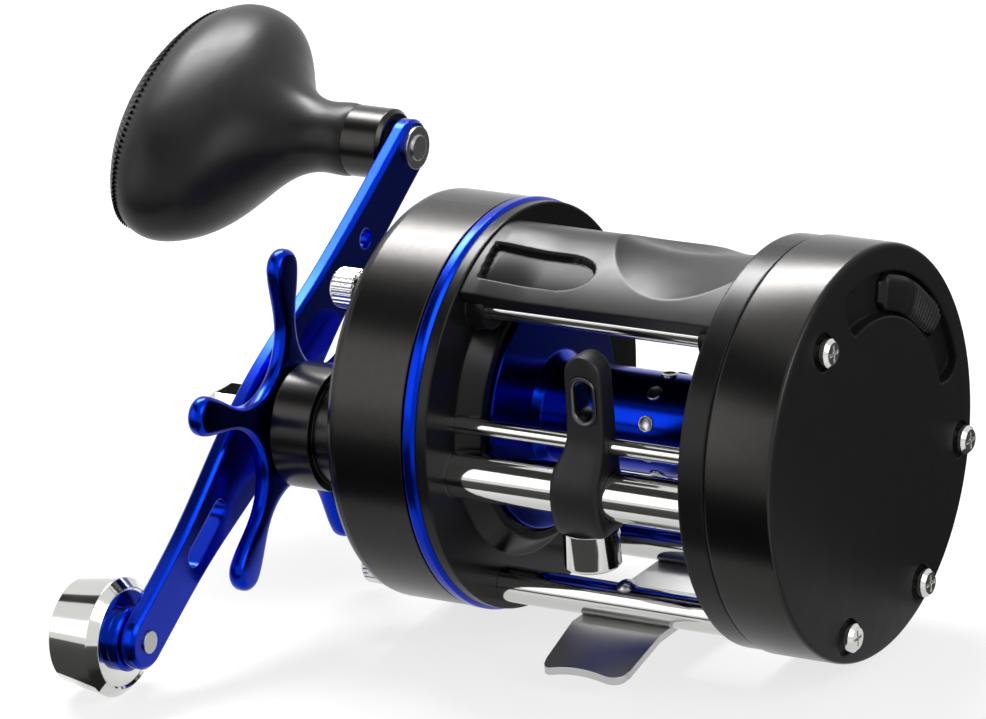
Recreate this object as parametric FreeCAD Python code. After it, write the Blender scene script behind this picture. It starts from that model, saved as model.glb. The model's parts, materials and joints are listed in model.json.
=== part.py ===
import FreeCAD, Part
import os
from math import acos, atan2, cos, degrees, hypot, pi, radians, sin, sqrt, tan

# Round trolling reel with a level wind, a star drag and a power handle.
# Lengths are in millimetres.  The parts are drawn about the spool's axis, which lies
# along X: +X points to the plain (palm) side plate, -X to the handle, -Y to the front,
# where the line guide is, and +Z up.  At the end every part is lifted so that the row's
# origin is at the middle of the reel foot's flat underside.

os.makedirs("parts", exist_ok=True)
Vec = FreeCAD.Vector
ALONG = Vec(1, 0, 0)

# ---------------------------------------------------------------- driving sizes
# clearances
RUN = 0.05            # radial clearance of a shaft that turns or slides in its hole
SIDE_GAP = 0.20       # gap between faces that pass each other
SCREW_GAP = 0.15      # radial clearance of a screw in a plain hole

# side plates and frame
PLATE_R = 30.0        # outer radius of both side plates
FRAME_IN = 20.5       # half the width between the frame's two inner faces
FRAME_WALL = 1.8      # thickness of each frame plate
FRAME_INSET = 0.3     # how far the frame's rim lies under the covers' rim
TRIM_W = 2.2          # width of the coloured trim ring, and of the palm side's plain rim
TRIM_PROUD = 0.15     # how far the trim ring stands out past the covers
TRIM_WALL = 2.2       # radial thickness of the trim ring
COVER_WALL = 1.6      # wall of both covers
RIGHT_COVER_W = 13.2  # width of the handle side cover
LEFT_COVER_W = 10.8    # width of the palm side cover's rim
LEFT_DOME = 0.9       # how far the palm side's face bulges past its rim
RIGHT_DOME = 0.4      # and the handle side's
DOME_POWER = 6        # the faces stay flat in the middle and fall away near the rim
RIM_FILLET = 0.9      # rounding of the covers' outer edges

# spool
SPOOL_FLANGE_R = 17.5
SPOOL_FLANGE_W = 1.3
SPOOL_LIP = 2.2       # how far the flanges sit inside the frame's faces, towards the middle
SPOOL_BORE_GAP = 0.55  # running gap round the flanges
ARBOR_R = 7.5
SHAFT_R = 1.5
ANCHOR_HOLES = 10
ANCHOR_HOLE_R = 0.6
ANCHOR_DEPTH = 1.4
ANCHOR_X = 2.5
COLLAR_LIP = 0.7      # the collar ends this far inside the flange's outer face
COLLAR_BASE_W = 3.8   # radial width of the frame's raised collar at its foot
COLLAR_TOP_W = 1.3    # and at its edge

# pillars: angle from the top towards the front, radius of their circle, own radius
TOP_PILLAR = (33.6, 23.9, 1.7)
LOW_FRONT_PILLAR = (155.0, 26.0, 2.65)
LOW_REAR_PILLAR = (205.0, 26.0, 2.65)
REAR_PILLAR = (255.0, 26.0, 2.65)
EAR_WALL = 1.5        # wall of the frame's ears round the top pillar
EAR_W = 3.0           # how far the ears reach along it

# foot
FOOT_THICK = 1.1
FOOT_FLAT = 0.15      # depth of the flats on the pillars where the foot is seated
FOOT_LENGTH = 52.0
FOOT_MID_LENGTH = 30.0
FOOT_MID_W = 14.5
FOOT_TIP_W = 13.4
FOOT_DROP = 3.2       # how far the tips lie below the middle
FOOT_ARCH = 1.3       # height of the arch across the tips
FOOT_CORNER = 2.6
RIVET_R = 0.9
RIVET_HEAD_R = 1.5
RIVET_HEAD_H = 0.85

# thumb rest
REST_GAP = 0.35      # between the thumb rest's underside and the frame's raised collars
REST_FRONT = 30.0     # angle of its front edge, from the top
REST_REAR = 46.0      # angle of its rear edge, from the top
REST_ENDS_R = 28.2    # outer radius where it meets the frame plates
REST_MID_R = 25.6     # outer radius at the waist
REST_WAIST_X = 3.0
DISH_R = 17.0         # thumb dish: radius of the ball that cuts it
DISH_DEPTH = 1.5
DISH_X = 8.0
DISH_ANGLE = 6.0
PANEL_DEPTH = 0.5     # recessed plain panel
PANEL_LENGTH = 16.0
PANEL_H = 6.0
PANEL_X = -19.0
PANEL_ANGLE = 17.0

# drive train
MODULE = 0.45
MAIN_TEETH = 53
PINION_TEETH = 10
MAIN_W = 2.5
PINION_TOOTH_W = 6.8
BACKLASH = 0.11       # taken off each tooth's thickness
DRIVE_ANGLE = 97.6    # where the drive shaft stands, from the top towards the front
WIND_MODULE = 0.4
WIND_DRIVE_TEETH = 24
WORM_GEAR_TEETH = 13
WIND_GEAR_W = 1.3
WORM_ANGLE = 96.0     # where the worm stands seen from the drive shaft
DRIVE_SHAFT_R = 2.5
SLEEVE_R = 3.6
DRAG_WASHER_R = 9.0
DRAG_WASHER_W = 0.8
CLUTCH_TRAVEL = 2.0   # travel of the pinion and its yoke
BUTTON_TRAVEL = 3.5   # travel of the free spool button
BRIDGE_W = 1.9
BRIDGE_GAP = 0.3
YOKE_W = 1.0
POST_R = 1.0
YOKE_POST_Y = 3.0
YOKE_POST_Z = 9.5

# collar, star, handle
COLLAR_R = 9.25
COLLAR_NECK_R = 8.2
COLLAR_END = -51.9    # outer end of the collar round the drive shaft
COLLAR_NECK_W = 7.0
CLUTCH_BEARING_R = 6.5
STAR_W = 2.6
STAR_HUB_R = 9.2
STAR_TIP_R = 2.9      # radius of the round tips
STAR_REACH = 23.2     # from the axis to the middle of a tip
STAR_NECK = 1.65      # half the width of an arm at its thinnest
STAR_ARMS = 5
STAR_TURN = 86.5      # angle of the first arm from +Y
ARM_GAP = 2.2         # room for the star to wind out on its thread
ARM_W = 2.6
ARM_ANGLE = 31.6      # tilt of the handle from +Y
KNOB_REACH = 52.3     # from the drive shaft to the knob's spindle
WEIGHT_REACH = 41.3   # and to the weight's pin
ARM_HALF_W = (        # (distance from the drive shaft, half the arm's width there)
    (-41.3, 4.1), (-31.0, 4.1), (-24.0, 4.4), (-17.0, 5.2), (-9.0, 6.3), (0.0, 6.9),
    (10.0, 6.4), (20.0, 5.3), (30.0, 4.7), (42.0, 4.35), (52.3, 4.2))
ARM_SLOT = (17.3, 25.6, 1.7)
ARM_HOLE = (34.4, 1.5)
NUT_R = 4.4
NUT_H = 5.0
NUT_DOME = 3.2

# knob and counterweight
SPINDLE_R = 2.0
SPINDLE_HEAD_R = 1.9
SPINDLE_WASHER_R = 3.25
FERRULE_R = 5.4
FERRULE_L = 6.6
KNOB_L = 35.3
KNOB_NECK_R = 5.2
KNOB_LONG = 22.9      # half of the knob's long width
KNOB_SHORT = 12.6     # half of its short width
KNOB_TILT = 25.0
WEIGHT_R = 8.7
WEIGHT_END_R = 7.4    # its sides lean in towards the outer end
WEIGHT_L = 9.2
WEIGHT_BOSS_R = 4.7
WEIGHT_BOSS_L = 1.6

# level wind
WORM_R = 2.6
TUBE_R = 3.6
TUBE_WALL = 0.7
GUIDE_ROD_R = 1.2
GUIDE_ROD_RISE = 7.2
GUIDE_ROD_BACK = 0.6
GUIDE_W = 8.0
GUIDE_X = 1.0
EYE_HALF_W = 1.5
EYE_HALF_H = 3.1
EYE_RIM = 0.85        # radial width of the eye's hard ring
EYE_RISE = 7.1        # of its middle above the guide rod
GUIDE_RISE = 13.4     # of the carriage's top above the guide rod
GUIDE_WALL = 1.6      # of the carriage round the tube
GUIDE_DROP = 1.9      # of its underside below the tube
GUIDE_END_GAP = 0.3
PAWL_R = 1.3
PAWL_CAP_R = 4.1
PAWL_CAP_H = 5.6

# palm side
SCREW_R = 1.0
SCREW_HEAD_R = 2.1
SCREW_HEAD_H = 1.3
CLICK_R = 23.6        # radius of the click switch's path
CLICK_W = 5.0
CLICK_FROM = -22.0
CLICK_TO = -76.0
CLICK_PAD = 30.0      # the switch's own length, in degrees
CLICK_TRAVEL = 20.0
CLICK_DEPTH = 2.0

# bearings
BEARING_W = 2.5
BEARING_R = 4.0       # knob and palm side bearings
CAP_BEARING_R = 3.4   # the bearing in the tension cap's boss
CAP_BOSS_WALL = 1.0
CAP_BOSS_L = 3.4
CAP_L = 4.4
CAP_WALL = 1.1

# ---------------------------------------------------------------- worked out places
FRAME_OUT = FRAME_IN + FRAME_WALL
COVER_SEAT = FRAME_OUT + TRIM_W
RIGHT_FACE = -(COVER_SEAT + RIGHT_COVER_W)
RIGHT_INSIDE = RIGHT_FACE + COVER_WALL
LEFT_EDGE = COVER_SEAT + LEFT_COVER_W
LEFT_FACE = LEFT_EDGE + LEFT_DOME
BRIDGE_OUT = -(FRAME_OUT + BRIDGE_W)
SPOOL_END = FRAME_IN - SPOOL_LIP
BORE_R = SPOOL_FLANGE_R + SPOOL_BORE_GAP
REST_IN_R = BORE_R + COLLAR_BASE_W + REST_GAP


def polar(angle, radius):
    """(y, z) of a point at an angle from the top, counted towards the front."""
    return (-radius * sin(radians(angle)), radius * cos(radians(angle)))


GEAR_DISTANCE = MODULE * (MAIN_TEETH + PINION_TEETH) / 2
DRIVE_Y, DRIVE_Z = polar(DRIVE_ANGLE, GEAR_DISTANCE)
WORM_DISTANCE = WIND_MODULE * (WIND_DRIVE_TEETH + WORM_GEAR_TEETH) / 2
WORM_Y = DRIVE_Y + polar(WORM_ANGLE, WORM_DISTANCE)[0]
WORM_Z = DRIVE_Z + polar(WORM_ANGLE, WORM_DISTANCE)[1]
ROD_Y = WORM_Y + GUIDE_ROD_BACK
ROD_Z = WORM_Z + GUIDE_ROD_RISE
PILLARS = (TOP_PILLAR, LOW_FRONT_PILLAR, LOW_REAR_PILLAR, REAR_PILLAR)
LOW_Z = polar(LOW_FRONT_PILLAR[0], LOW_FRONT_PILLAR[1])[1]
FOOT_TOP = LOW_Z - LOW_FRONT_PILLAR[2] + FOOT_FLAT
SEAT_Z = FOOT_TOP - FOOT_THICK

WIND_GEAR_IN = BRIDGE_OUT - SIDE_GAP
WIND_GEAR_OUT = WIND_GEAR_IN - WIND_GEAR_W
MAIN_IN = WIND_GEAR_OUT - 1.1
MAIN_OUT = MAIN_IN - MAIN_W
DRAG_OUT = MAIN_OUT - 3 * DRAG_WASHER_W
STAR_IN = COLLAR_END - 0.5
STAR_OUT = STAR_IN - STAR_W
ARM_IN = STAR_OUT - ARM_GAP
ARM_OUT = ARM_IN - ARM_W


# ---------------------------------------------------------------- shape helpers
def rod(x0, x1, radius, y=0.0, z=0.0):
    """Cylinder along X between two stations."""
    low, high = min(x0, x1), max(x0, x1)
    return Part.makeCylinder(radius, high - low, Vec(low, y, z), ALONG)


def ring(x0, x1, outer, inner, y=0.0, z=0.0):
    return rod(x0, x1, outer, y, z).cut(rod(x0, x1, inner, y, z))


def turned(points, y=0.0, z=0.0):
    """Solid turned about an X axis from (x, radius) corners."""
    corners = [Vec(x, y, z + r) for x, r in points]
    face = Part.Face(Part.makePolygon(corners + [corners[0]]))
    return face.revolve(Vec(0, y, z), ALONG, 360)


def block(x0, x1, y0, y1, z0, z1):
    return Part.makeBox(x1 - x0, y1 - y0, z1 - z0, Vec(x0, y0, z0))


def plate(outline, x0, x1):
    """Closed outline of edges drawn in the plane X = x0, thickened to x1."""
    wire = Part.Wire(Part.__sortEdges__(outline))
    return Part.Face(wire).extrude(Vec(x1 - x0, 0, 0))


def joined(shapes):
    body = shapes[0]
    for other in shapes[1:]:
        body = body.fuse(other)
    return body.removeSplitter()


def save(name, shape):
    shape = shape.copy()
    shape.translate(Vec(0, 0, -SEAT_Z))
    shape.exportStep("parts/" + name + ".step")


def involute_gear(teeth, module, x0, x1, y, z, toward, tooth_there, bore):
    """Spur gear; toward is the direction (degrees from +Y) of the gear that it meshes
    with, where it has a tooth or a gap."""
    pitch = module * teeth / 2
    base = pitch * cos(radians(20))
    tip = pitch + module * 0.95
    root = pitch - module * 1.2
    half = pi / (2 * teeth) - BACKLASH / (2 * pitch)

    def spread(radius):
        if radius <= base:
            radius = base
        pressure = acos(base / radius)
        at_pitch = radians(20)
        return half + (tan(at_pitch) - at_pitch) - (tan(pressure) - pressure)

    start = radians(toward) + (0 if tooth_there else pi / teeth)
    radii = [root, max(base, root + 0.01), (max(base, root) + pitch) / 2, pitch, tip]
    points = []
    for number in range(teeth):
        middle = start + 2 * pi * number / teeth
        for radius in radii:
            angle = middle - spread(radius)
            points.append(Vec(x0, y + radius * cos(angle), z + radius * sin(angle)))
        for radius in reversed(radii):
            angle = middle + spread(radius)
            points.append(Vec(x0, y + radius * cos(angle), z + radius * sin(angle)))
    face = Part.Face(Part.makePolygon(points + [points[0]]))
    return face.extrude(Vec(x1 - x0, 0, 0)).cut(rod(x0, x1, bore, y, z))


def tapered_bar(x0, x1, y0, z0, r0, y1, z1, r1):
    """Flat bar with round ends of two radii and sides that touch both."""
    length = hypot(y1 - y0, z1 - z0)
    along = atan2(z1 - z0, y1 - y0)
    lean = acos((r0 - r1) / length)
    corners = []
    for side in (1, -1):
        angle = along + side * lean
        ends = [(y0 + r0 * cos(angle), z0 + r0 * sin(angle)),
                (y1 + r1 * cos(angle), z1 + r1 * sin(angle))]
        corners += ends if side == 1 else ends[::-1]
    points = [Vec(x0, y, z) for y, z in corners]
    side_plate = Part.Face(Part.makePolygon(points + [points[0]])).extrude(Vec(x1 - x0, 0, 0))
    return joined([side_plate, rod(x0, x1, r0, y0, z0), rod(x0, x1, r1, y1, z1)])


def on_arm(reach):
    """(y, z) on the handle's centre line, at a distance from the drive shaft."""
    return (DRIVE_Y + reach * cos(radians(ARM_ANGLE)), DRIVE_Z + reach * sin(radians(ARM_ANGLE)))


def sector(x0, x1, inner, outer, first, last):
    """Part of a ring about the spool's axis between two angles from the top."""
    whole = turned([(x0, inner), (x0, outer), (x1, outer), (x1, inner)])
    return whole.common(wedge(x0, x1, first, last, outer + 5))


def wedge(x0, x1, first, last, reach):
    middle = (first + last) / 2
    far = reach / cos(radians((last - first) / 2))
    corners = [(0, 0)] + [polar(a, far) for a in (first, middle, last)]
    points = [Vec(x0, y, z) for y, z in corners]
    return Part.Face(Part.makePolygon(points + [points[0]])).extrude(Vec(x1 - x0, 0, 0))


# ---------------------------------------------------------------- frame
def frame_plate(side):
    """One plate of the frame with its raised collar round the spool; side is -1 for the
    handle side and 1 for the palm side, whose rim also fills the trim ring's place."""
    rim = PLATE_R - FRAME_INSET
    body = turned([(side * FRAME_OUT, BORE_R), (side * FRAME_OUT, rim), (side * FRAME_IN, rim),
                   (side * FRAME_IN, BORE_R + COLLAR_BASE_W),
                   (side * (SPOOL_END - COLLAR_LIP), BORE_R + COLLAR_TOP_W),
                   (side * (SPOOL_END - COLLAR_LIP), BORE_R)])
    if side == 1:
        body = body.fuse(ring(FRAME_OUT, COVER_SEAT, rim, rim - TRIM_WALL))
    angle, radius, own = TOP_PILLAR
    y, z = polar(angle, radius)
    ear = rod(side * FRAME_IN, side * (FRAME_IN - EAR_W), own + EAR_WALL, y, z)
    body = joined([body, ear])
    for angle, radius, own in PILLARS:
        y, z = polar(angle, radius)
        body = body.cut(rod(side * FRAME_IN, side * (FRAME_IN - EAR_W), own, y, z))
        body = body.cut(rod(side * COVER_SEAT, side * FRAME_IN, SCREW_R + SCREW_GAP, y, z))
    inner = side * (SPOOL_END - 1)
    body = body.cut(rod(inner, side * FRAME_OUT, GUIDE_ROD_R, ROD_Y, ROD_Z))
    return body.cut(rod(inner, side * COVER_SEAT, TUBE_R, WORM_Y, WORM_Z))


def pillar(angle, radius, own):
    y, z = polar(angle, radius)
    body = rod(-FRAME_IN, FRAME_IN, own, y, z)
    for side in (-1, 1):
        body = body.cut(rod(side * FRAME_IN, side * (FRAME_IN - 7), SCREW_R, y, z))
    if z < FOOT_TOP + own + 1:
        under = block(-FOOT_MID_W, FOOT_MID_W, y - own, y + own, FOOT_TOP - own, FOOT_TOP)
        body = body.cut(under)
        body = body.cut(Part.makeCylinder(RIVET_R, 4 * own, Vec(0, y, z - 2 * own)))
    return body


def reel_foot():
    """Stamped plate: a flat middle and two arched tips that slope down."""
    def section(y, top, width, arch):
        half = width / 2
        rise = max(arch, 0.02)
        upper = Part.Arc(Vec(-half, y, top - rise), Vec(0, y, top), Vec(half, y, top - rise))
        lower = Part.Arc(Vec(half, y, top - rise - FOOT_THICK), Vec(0, y, top - FOOT_THICK),
                         Vec(-half, y, top - rise - FOOT_THICK))
        right = Part.LineSegment(Vec(half, y, top - rise), Vec(half, y, top - rise - FOOT_THICK))
        left = Part.LineSegment(Vec(-half, y, top - rise - FOOT_THICK), Vec(-half, y, top - rise))
        return Part.Wire([c.toShape() for c in (upper, right, lower, left)])

    mid = FOOT_MID_LENGTH / 2
    end = FOOT_LENGTH / 2
    body = block(-FOOT_MID_W / 2, FOOT_MID_W / 2, -mid, mid, FOOT_TOP - FOOT_THICK, FOOT_TOP)
    for side in (-1, 1):
        tip = Part.makeLoft([section(side * mid, FOOT_TOP, FOOT_MID_W, 0),
                             section(side * end, FOOT_TOP - FOOT_DROP + FOOT_ARCH, FOOT_TIP_W,
                                     FOOT_ARCH)], True, True)
        body = body.fuse(tip)
    blank = block(-FOOT_MID_W, FOOT_MID_W, -end, end, FOOT_TOP - 9, FOOT_TOP + 3)
    corners = [e for e in blank.Edges if abs(e.Vertexes[0].Z - e.Vertexes[1].Z) > 5]
    narrow = block(-FOOT_TIP_W / 2, FOOT_TIP_W / 2, -end, end, FOOT_TOP - 9, FOOT_TOP + 3)
    corners = [e for e in narrow.Edges if abs(e.Vertexes[0].Z - e.Vertexes[1].Z) > 5]
    narrow = narrow.makeFillet(FOOT_CORNER, corners)
    keep = joined([narrow, block(-FOOT_MID_W, FOOT_MID_W, -end + FOOT_CORNER, end - FOOT_CORNER,
                                 FOOT_TOP - 9, FOOT_TOP + 3)])
    body = body.common(keep).removeSplitter()
    for angle, radius, own in (LOW_FRONT_PILLAR, LOW_REAR_PILLAR):
        y, z = polar(angle, radius)
        body = body.cut(Part.makeCylinder(RIVET_R, 20, Vec(0, y, z - 10)))
    return body


def foot_rivets():
    """One domed rivet through each low pillar and the foot."""
    rivets = []
    for angle, radius, own in (LOW_FRONT_PILLAR, LOW_REAR_PILLAR):
        y, z = polar(angle, radius)
        top = z + own
        shank = Part.makeCylinder(RIVET_R, top - SEAT_Z, Vec(0, y, SEAT_Z))
        ball_r = (RIVET_HEAD_R ** 2 + RIVET_HEAD_H ** 2) / (2 * RIVET_HEAD_H)
        ball = Part.makeSphere(ball_r, Vec(0, y, top + RIVET_HEAD_H - ball_r))
        dome = ball.common(block(-3, 3, y - 3, y + 3, top - 0.25, top + RIVET_HEAD_H + 1))
        dome = dome.cut(rod(-4, 4, own, y, z))
        rivets.append(joined([shank, dome]))
    return Part.makeCompound(rivets)


def thumb_rest():
    """Saddle between the frame's plates with a waist, a thumb dish and a plain panel."""
    line = Part.BSplineCurve()
    line.interpolate([Vec(-FRAME_IN, 0, REST_ENDS_R - 0.8), Vec(-FRAME_IN / 2, 0, REST_MID_R + 0.7),
                      Vec(REST_WAIST_X, 0, REST_MID_R), Vec(FRAME_IN * 0.75, 0, REST_MID_R + 1.2),
                      Vec(FRAME_IN, 0, REST_ENDS_R)])
    under = [Vec(FRAME_IN, 0, REST_ENDS_R), Vec(FRAME_IN, 0, REST_IN_R),
             Vec(-FRAME_IN, 0, REST_IN_R), Vec(-FRAME_IN, 0, REST_ENDS_R - 0.8)]
    edges = [line.toShape()] + [Part.LineSegment(a, b).toShape() for a, b in zip(under, under[1:])]
    face = Part.Face(Part.Wire(edges))
    face.rotate(Vec(0, 0, 0), ALONG, REST_FRONT)
    body = face.revolve(Vec(0, 0, 0), ALONG, -(REST_FRONT + REST_REAR))
    y, z = polar(DISH_ANGLE, REST_MID_R + DISH_R - DISH_DEPTH)
    body = body.cut(Part.makeSphere(DISH_R, Vec(DISH_X, y, z)))
    body = body.cut(panel_tool())
    y, z = polar(TOP_PILLAR[0], TOP_PILLAR[1])
    return body.cut(rod(-FRAME_IN, FRAME_IN, TOP_PILLAR[2] + EAR_WALL + SIDE_GAP, y, z))


def panel_tool():
    """Cutter for the panel: slanted at its outer end, pointed and rounded at the other."""
    half = PANEL_H / 2
    a = Vec(PANEL_X, 0, 0)
    b = Vec(PANEL_X + PANEL_LENGTH * 0.2, 2 * half, 0)
    tip = Vec(PANEL_X + PANEL_LENGTH, half * 0.8, 0)
    edges = [Part.LineSegment(a, b).toShape(),
             Part.Arc(b, Vec(PANEL_X + PANEL_LENGTH * 0.75, half * 1.75, 0), tip).toShape(),
             Part.Arc(tip, Vec(PANEL_X + PANEL_LENGTH * 0.8, half * 0.1, 0), a).toShape()]
    face = Part.Face(Part.Wire(edges))
    face.translate(Vec(0, -half, 0))
    tool = face.extrude(Vec(0, 0, 6))
    tool.translate(Vec(0, 0, REST_MID_R + 0.45 - PANEL_DEPTH))
    tool.rotate(Vec(0, 0, 0), ALONG, PANEL_ANGLE)
    return tool


# ---------------------------------------------------------------- handle side
def trim_ring():
    outer = PLATE_R + TRIM_PROUD
    edge = 0.5
    body = turned([(-COVER_SEAT, PLATE_R - TRIM_WALL), (-COVER_SEAT, outer - edge),
                   (-COVER_SEAT + edge, outer), (-FRAME_OUT - edge, outer),
                   (-FRAME_OUT, outer - edge), (-FRAME_OUT, PLATE_R - TRIM_WALL)])
    return body


def cover_shell(seat, edge, face, wall, fillet):
    """Cup that opens towards the frame; its face is flat or slightly domed."""
    side = 1 if edge > seat else -1
    bulge = abs(face - edge)
    outer = [(seat, 0.0), (seat, PLATE_R), (edge - side * fillet, PLATE_R)]
    turn = edge - side * fillet
    for step in (22.5, 45.0, 67.5):
        outer.append((turn + side * fillet * sin(radians(step)),
                      PLATE_R - fillet + fillet * cos(radians(step))))
    outer.append((edge, PLATE_R - fillet))
    for share in (0.98, 0.955, 0.925, 0.89, 0.845, 0.79, 0.72, 0.63, 0.5, 0.35, 0.0):
        outer.append((edge + side * bulge * (1 - share ** DOME_POWER), (PLATE_R - fillet) * share))
    inside = edge - side * wall
    body = turned(outer)
    return body.cut(rod(seat, inside, PLATE_R - TRIM_WALL))


def right_side_cover():
    body = cover_shell(-COVER_SEAT, RIGHT_FACE, RIGHT_FACE - RIGHT_DOME, COVER_WALL, 2.0)
    y, z = DRIVE_Y, DRIVE_Z
    neck = RIGHT_FACE - COLLAR_NECK_W
    body = body.fuse(rod(RIGHT_INSIDE, neck, COLLAR_NECK_R, y, z))
    body = body.fuse(turned([(neck, 0), (neck, COLLAR_R), (COLLAR_END + 0.8, COLLAR_R),
                             (COLLAR_END, COLLAR_R - 0.8), (COLLAR_END, 0)], y, z))
    body = body.fuse(rod(RIGHT_INSIDE, RIGHT_FACE - CAP_BOSS_L, CAP_BEARING_R + CAP_BOSS_WALL))
    body = body.cut(rod(COLLAR_END, RIGHT_INSIDE, CLUTCH_BEARING_R, y, z))
    body = body.cut(rod(RIGHT_FACE - CAP_BOSS_L, RIGHT_INSIDE, CAP_BEARING_R))
    for angle, radius, own in PILLARS:
        y, z = polar(angle, radius)
        body = body.cut(rod(RIGHT_FACE - 1, RIGHT_INSIDE, SCREW_R + SCREW_GAP, y, z))
    window = block(BUTTON_X0 - SIDE_GAP, BUTTON_X1 + SIDE_GAP, PLATE_R - 8, PLATE_R + 2,
                   BUTTON_Z - BUTTON_H / 2 - BUTTON_TRAVEL - SIDE_GAP,
                   BUTTON_Z + BUTTON_H / 2 + SIDE_GAP)
    return body.cut(window).removeSplitter()


def gear_bridge():
    """Inner plate that carries the drive shaft, the pinion and the yoke's posts."""
    body = rod(BRIDGE_OUT, -FRAME_OUT, PLATE_R - TRIM_WALL - BRIDGE_GAP)
    body = body.cut(rod(BRIDGE_OUT, -FRAME_OUT, BEARING_R + 0.6))
    body = body.cut(rod(BRIDGE_OUT, -FRAME_OUT, DRIVE_SHAFT_R + RUN, DRIVE_Y, DRIVE_Z))
    body = body.cut(rod(BRIDGE_OUT, -FRAME_OUT, TUBE_R, WORM_Y, WORM_Z))
    for angle, radius, own in PILLARS:
        y, z = polar(angle, radius)
        body = body.cut(rod(BRIDGE_OUT, -FRAME_OUT, SCREW_R + SCREW_GAP, y, z))
    for side in (-1, 1):
        body = body.cut(rod(BRIDGE_OUT, -FRAME_OUT, POST_R, YOKE_POST_Y, side * YOKE_POST_Z))
    for first in (-20, -75, -140):
        body = body.cut(sector(BRIDGE_OUT, -FRAME_OUT, 9.5 + YOKE_POST_Y, 21.5, first - 32, first))
    return body


def yoke_posts():
    return Part.makeCompound([rod(-FRAME_OUT, RIGHT_INSIDE, POST_R, YOKE_POST_Y, side * YOKE_POST_Z)
                              for side in (-1, 1)])


# the pinion slides on the spool's shaft; its groove lies outboard of its teeth
PINION_IN = WIND_GEAR_OUT + 0.9
PINION_TOOTH_OUT = PINION_IN - PINION_TOOTH_W
YOKE_IN = PINION_TOOTH_OUT - SIDE_GAP / 2
YOKE_OUT = YOKE_IN - YOKE_W
PINION_GROOVE_R = 1.95
PINION_OUT = YOKE_OUT - 1.0
DRIVE_PIN_R = 0.5
DRIVE_PIN_HALF = 2.5
DRIVE_PIN_X = PINION_IN - DRIVE_PIN_R - 0.05
PINION_END_R = 3.0
BUTTON_H = 8.0
BUTTON_Z = 3.6        # middle of the button above the spool's axis
BUTTON_X0 = -34.5
BUTTON_X1 = -27.0
SLIDER_W = 1.0
SLIDER_HALF = 3.2
SLIDER_Y = 7.5        # inner end of the slider, near the yoke
BUTTON_ROOT = PLATE_R - 4.2
BUTTON_PROUD = 2.6


def pinion_gear():
    bore = SHAFT_R + RUN
    toward = degrees(atan2(DRIVE_Z, DRIVE_Y))
    body = involute_gear(PINION_TEETH, MODULE, PINION_TOOTH_OUT, PINION_IN, 0, 0,
                         toward, False, bore)
    body = body.fuse(ring(YOKE_OUT - SIDE_GAP / 2, PINION_TOOTH_OUT, PINION_GROOVE_R, bore))
    body = body.fuse(ring(PINION_OUT, YOKE_OUT - SIDE_GAP / 2, PINION_END_R, bore))
    slot = DRIVE_PIN_R + 0.1
    cut = block(DRIVE_PIN_X - slot, PINION_IN + 1, -slot, slot, -PINION_END_R - 1, PINION_END_R + 1)
    return body.cut(cut).removeSplitter()


def pinion_yoke():
    """Flat fork in the pinion's groove that slides on two posts."""
    y, z = YOKE_POST_Y, YOKE_POST_Z
    body = tapered_bar(YOKE_OUT, YOKE_IN, y, -z, 2.4, y, z, 2.4)
    body = body.fuse(rod(YOKE_OUT, YOKE_IN, 4.4))
    body = body.cut(rod(YOKE_OUT, YOKE_IN, PINION_GROOVE_R + RUN))
    mouth = PINION_GROOVE_R + RUN
    body = body.cut(block(YOKE_OUT, YOKE_IN, -6, 0, -mouth, mouth))
    for side in (-1, 1):
        body = body.cut(rod(YOKE_OUT, YOKE_IN, POST_R + RUN, y, side * z))
    return body.removeSplitter()


def coil_spring(x0, x1, radius, wire, turns, y, z):
    """Compression spring of square wire along X."""
    pitch = (abs(x1 - x0) - wire) / turns
    helix = Part.makeHelix(pitch, pitch * turns, radius)
    half = wire / 2
    square = [Vec(radius - half, 0, -half), Vec(radius + half, 0, -half),
              Vec(radius + half, 0, half), Vec(radius - half, 0, half)]
    profile = Part.makePolygon(square + [square[0]])
    body = Part.Wire(helix).makePipeShell([profile], True, True)
    body.translate(Vec(0, 0, half))
    body.rotate(Vec(0, 0, 0), Vec(0, 1, 0), 90)
    body.translate(Vec(min(x0, x1), y, z))
    return body


def yoke_springs():
    return Part.makeCompound([
        coil_spring(RIGHT_INSIDE + 0.1, YOKE_OUT - 0.1, POST_R + 0.65, 0.45, 3, YOKE_POST_Y,
                    side * YOKE_POST_Z) for side in (-1, 1)])


def clutch_button():
    """Thumb button at the rear of the handle side plate."""
    half = BUTTON_H / 2
    body = block(BUTTON_X0, BUTTON_X1, BUTTON_ROOT, PLATE_R + BUTTON_PROUD, BUTTON_Z - half,
                 BUTTON_Z + half)
    edges = [e for e in body.Edges if e.CenterOfMass.y > PLATE_R + BUTTON_PROUD - 0.1]
    return body.makeFillet(1.2, edges)


def clutch_slider():
    """Plate behind the button, with the ramp that lifts the yoke."""
    x1 = YOKE_IN + 1.2 + SLIDER_W
    x0 = x1 - SLIDER_W
    low = BUTTON_Z - SLIDER_HALF
    high = BUTTON_Z + SLIDER_HALF
    body = block(x0, x1, SLIDER_Y, BUTTON_ROOT, low, high)
    body = body.fuse(block(x0 - 1.8, x0, BUTTON_ROOT - 2.3, BUTTON_ROOT, low, high))
    ramp = [(x0, BUTTON_Z + 0.5), (x0 - 0.9, high), (x0, high)]
    points = [Vec(x, SLIDER_Y, z) for x, z in ramp]
    wedge_face = Part.Face(Part.makePolygon(points + [points[0]]))
    return joined([body, wedge_face.extrude(Vec(0, 3, 0))])


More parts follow.
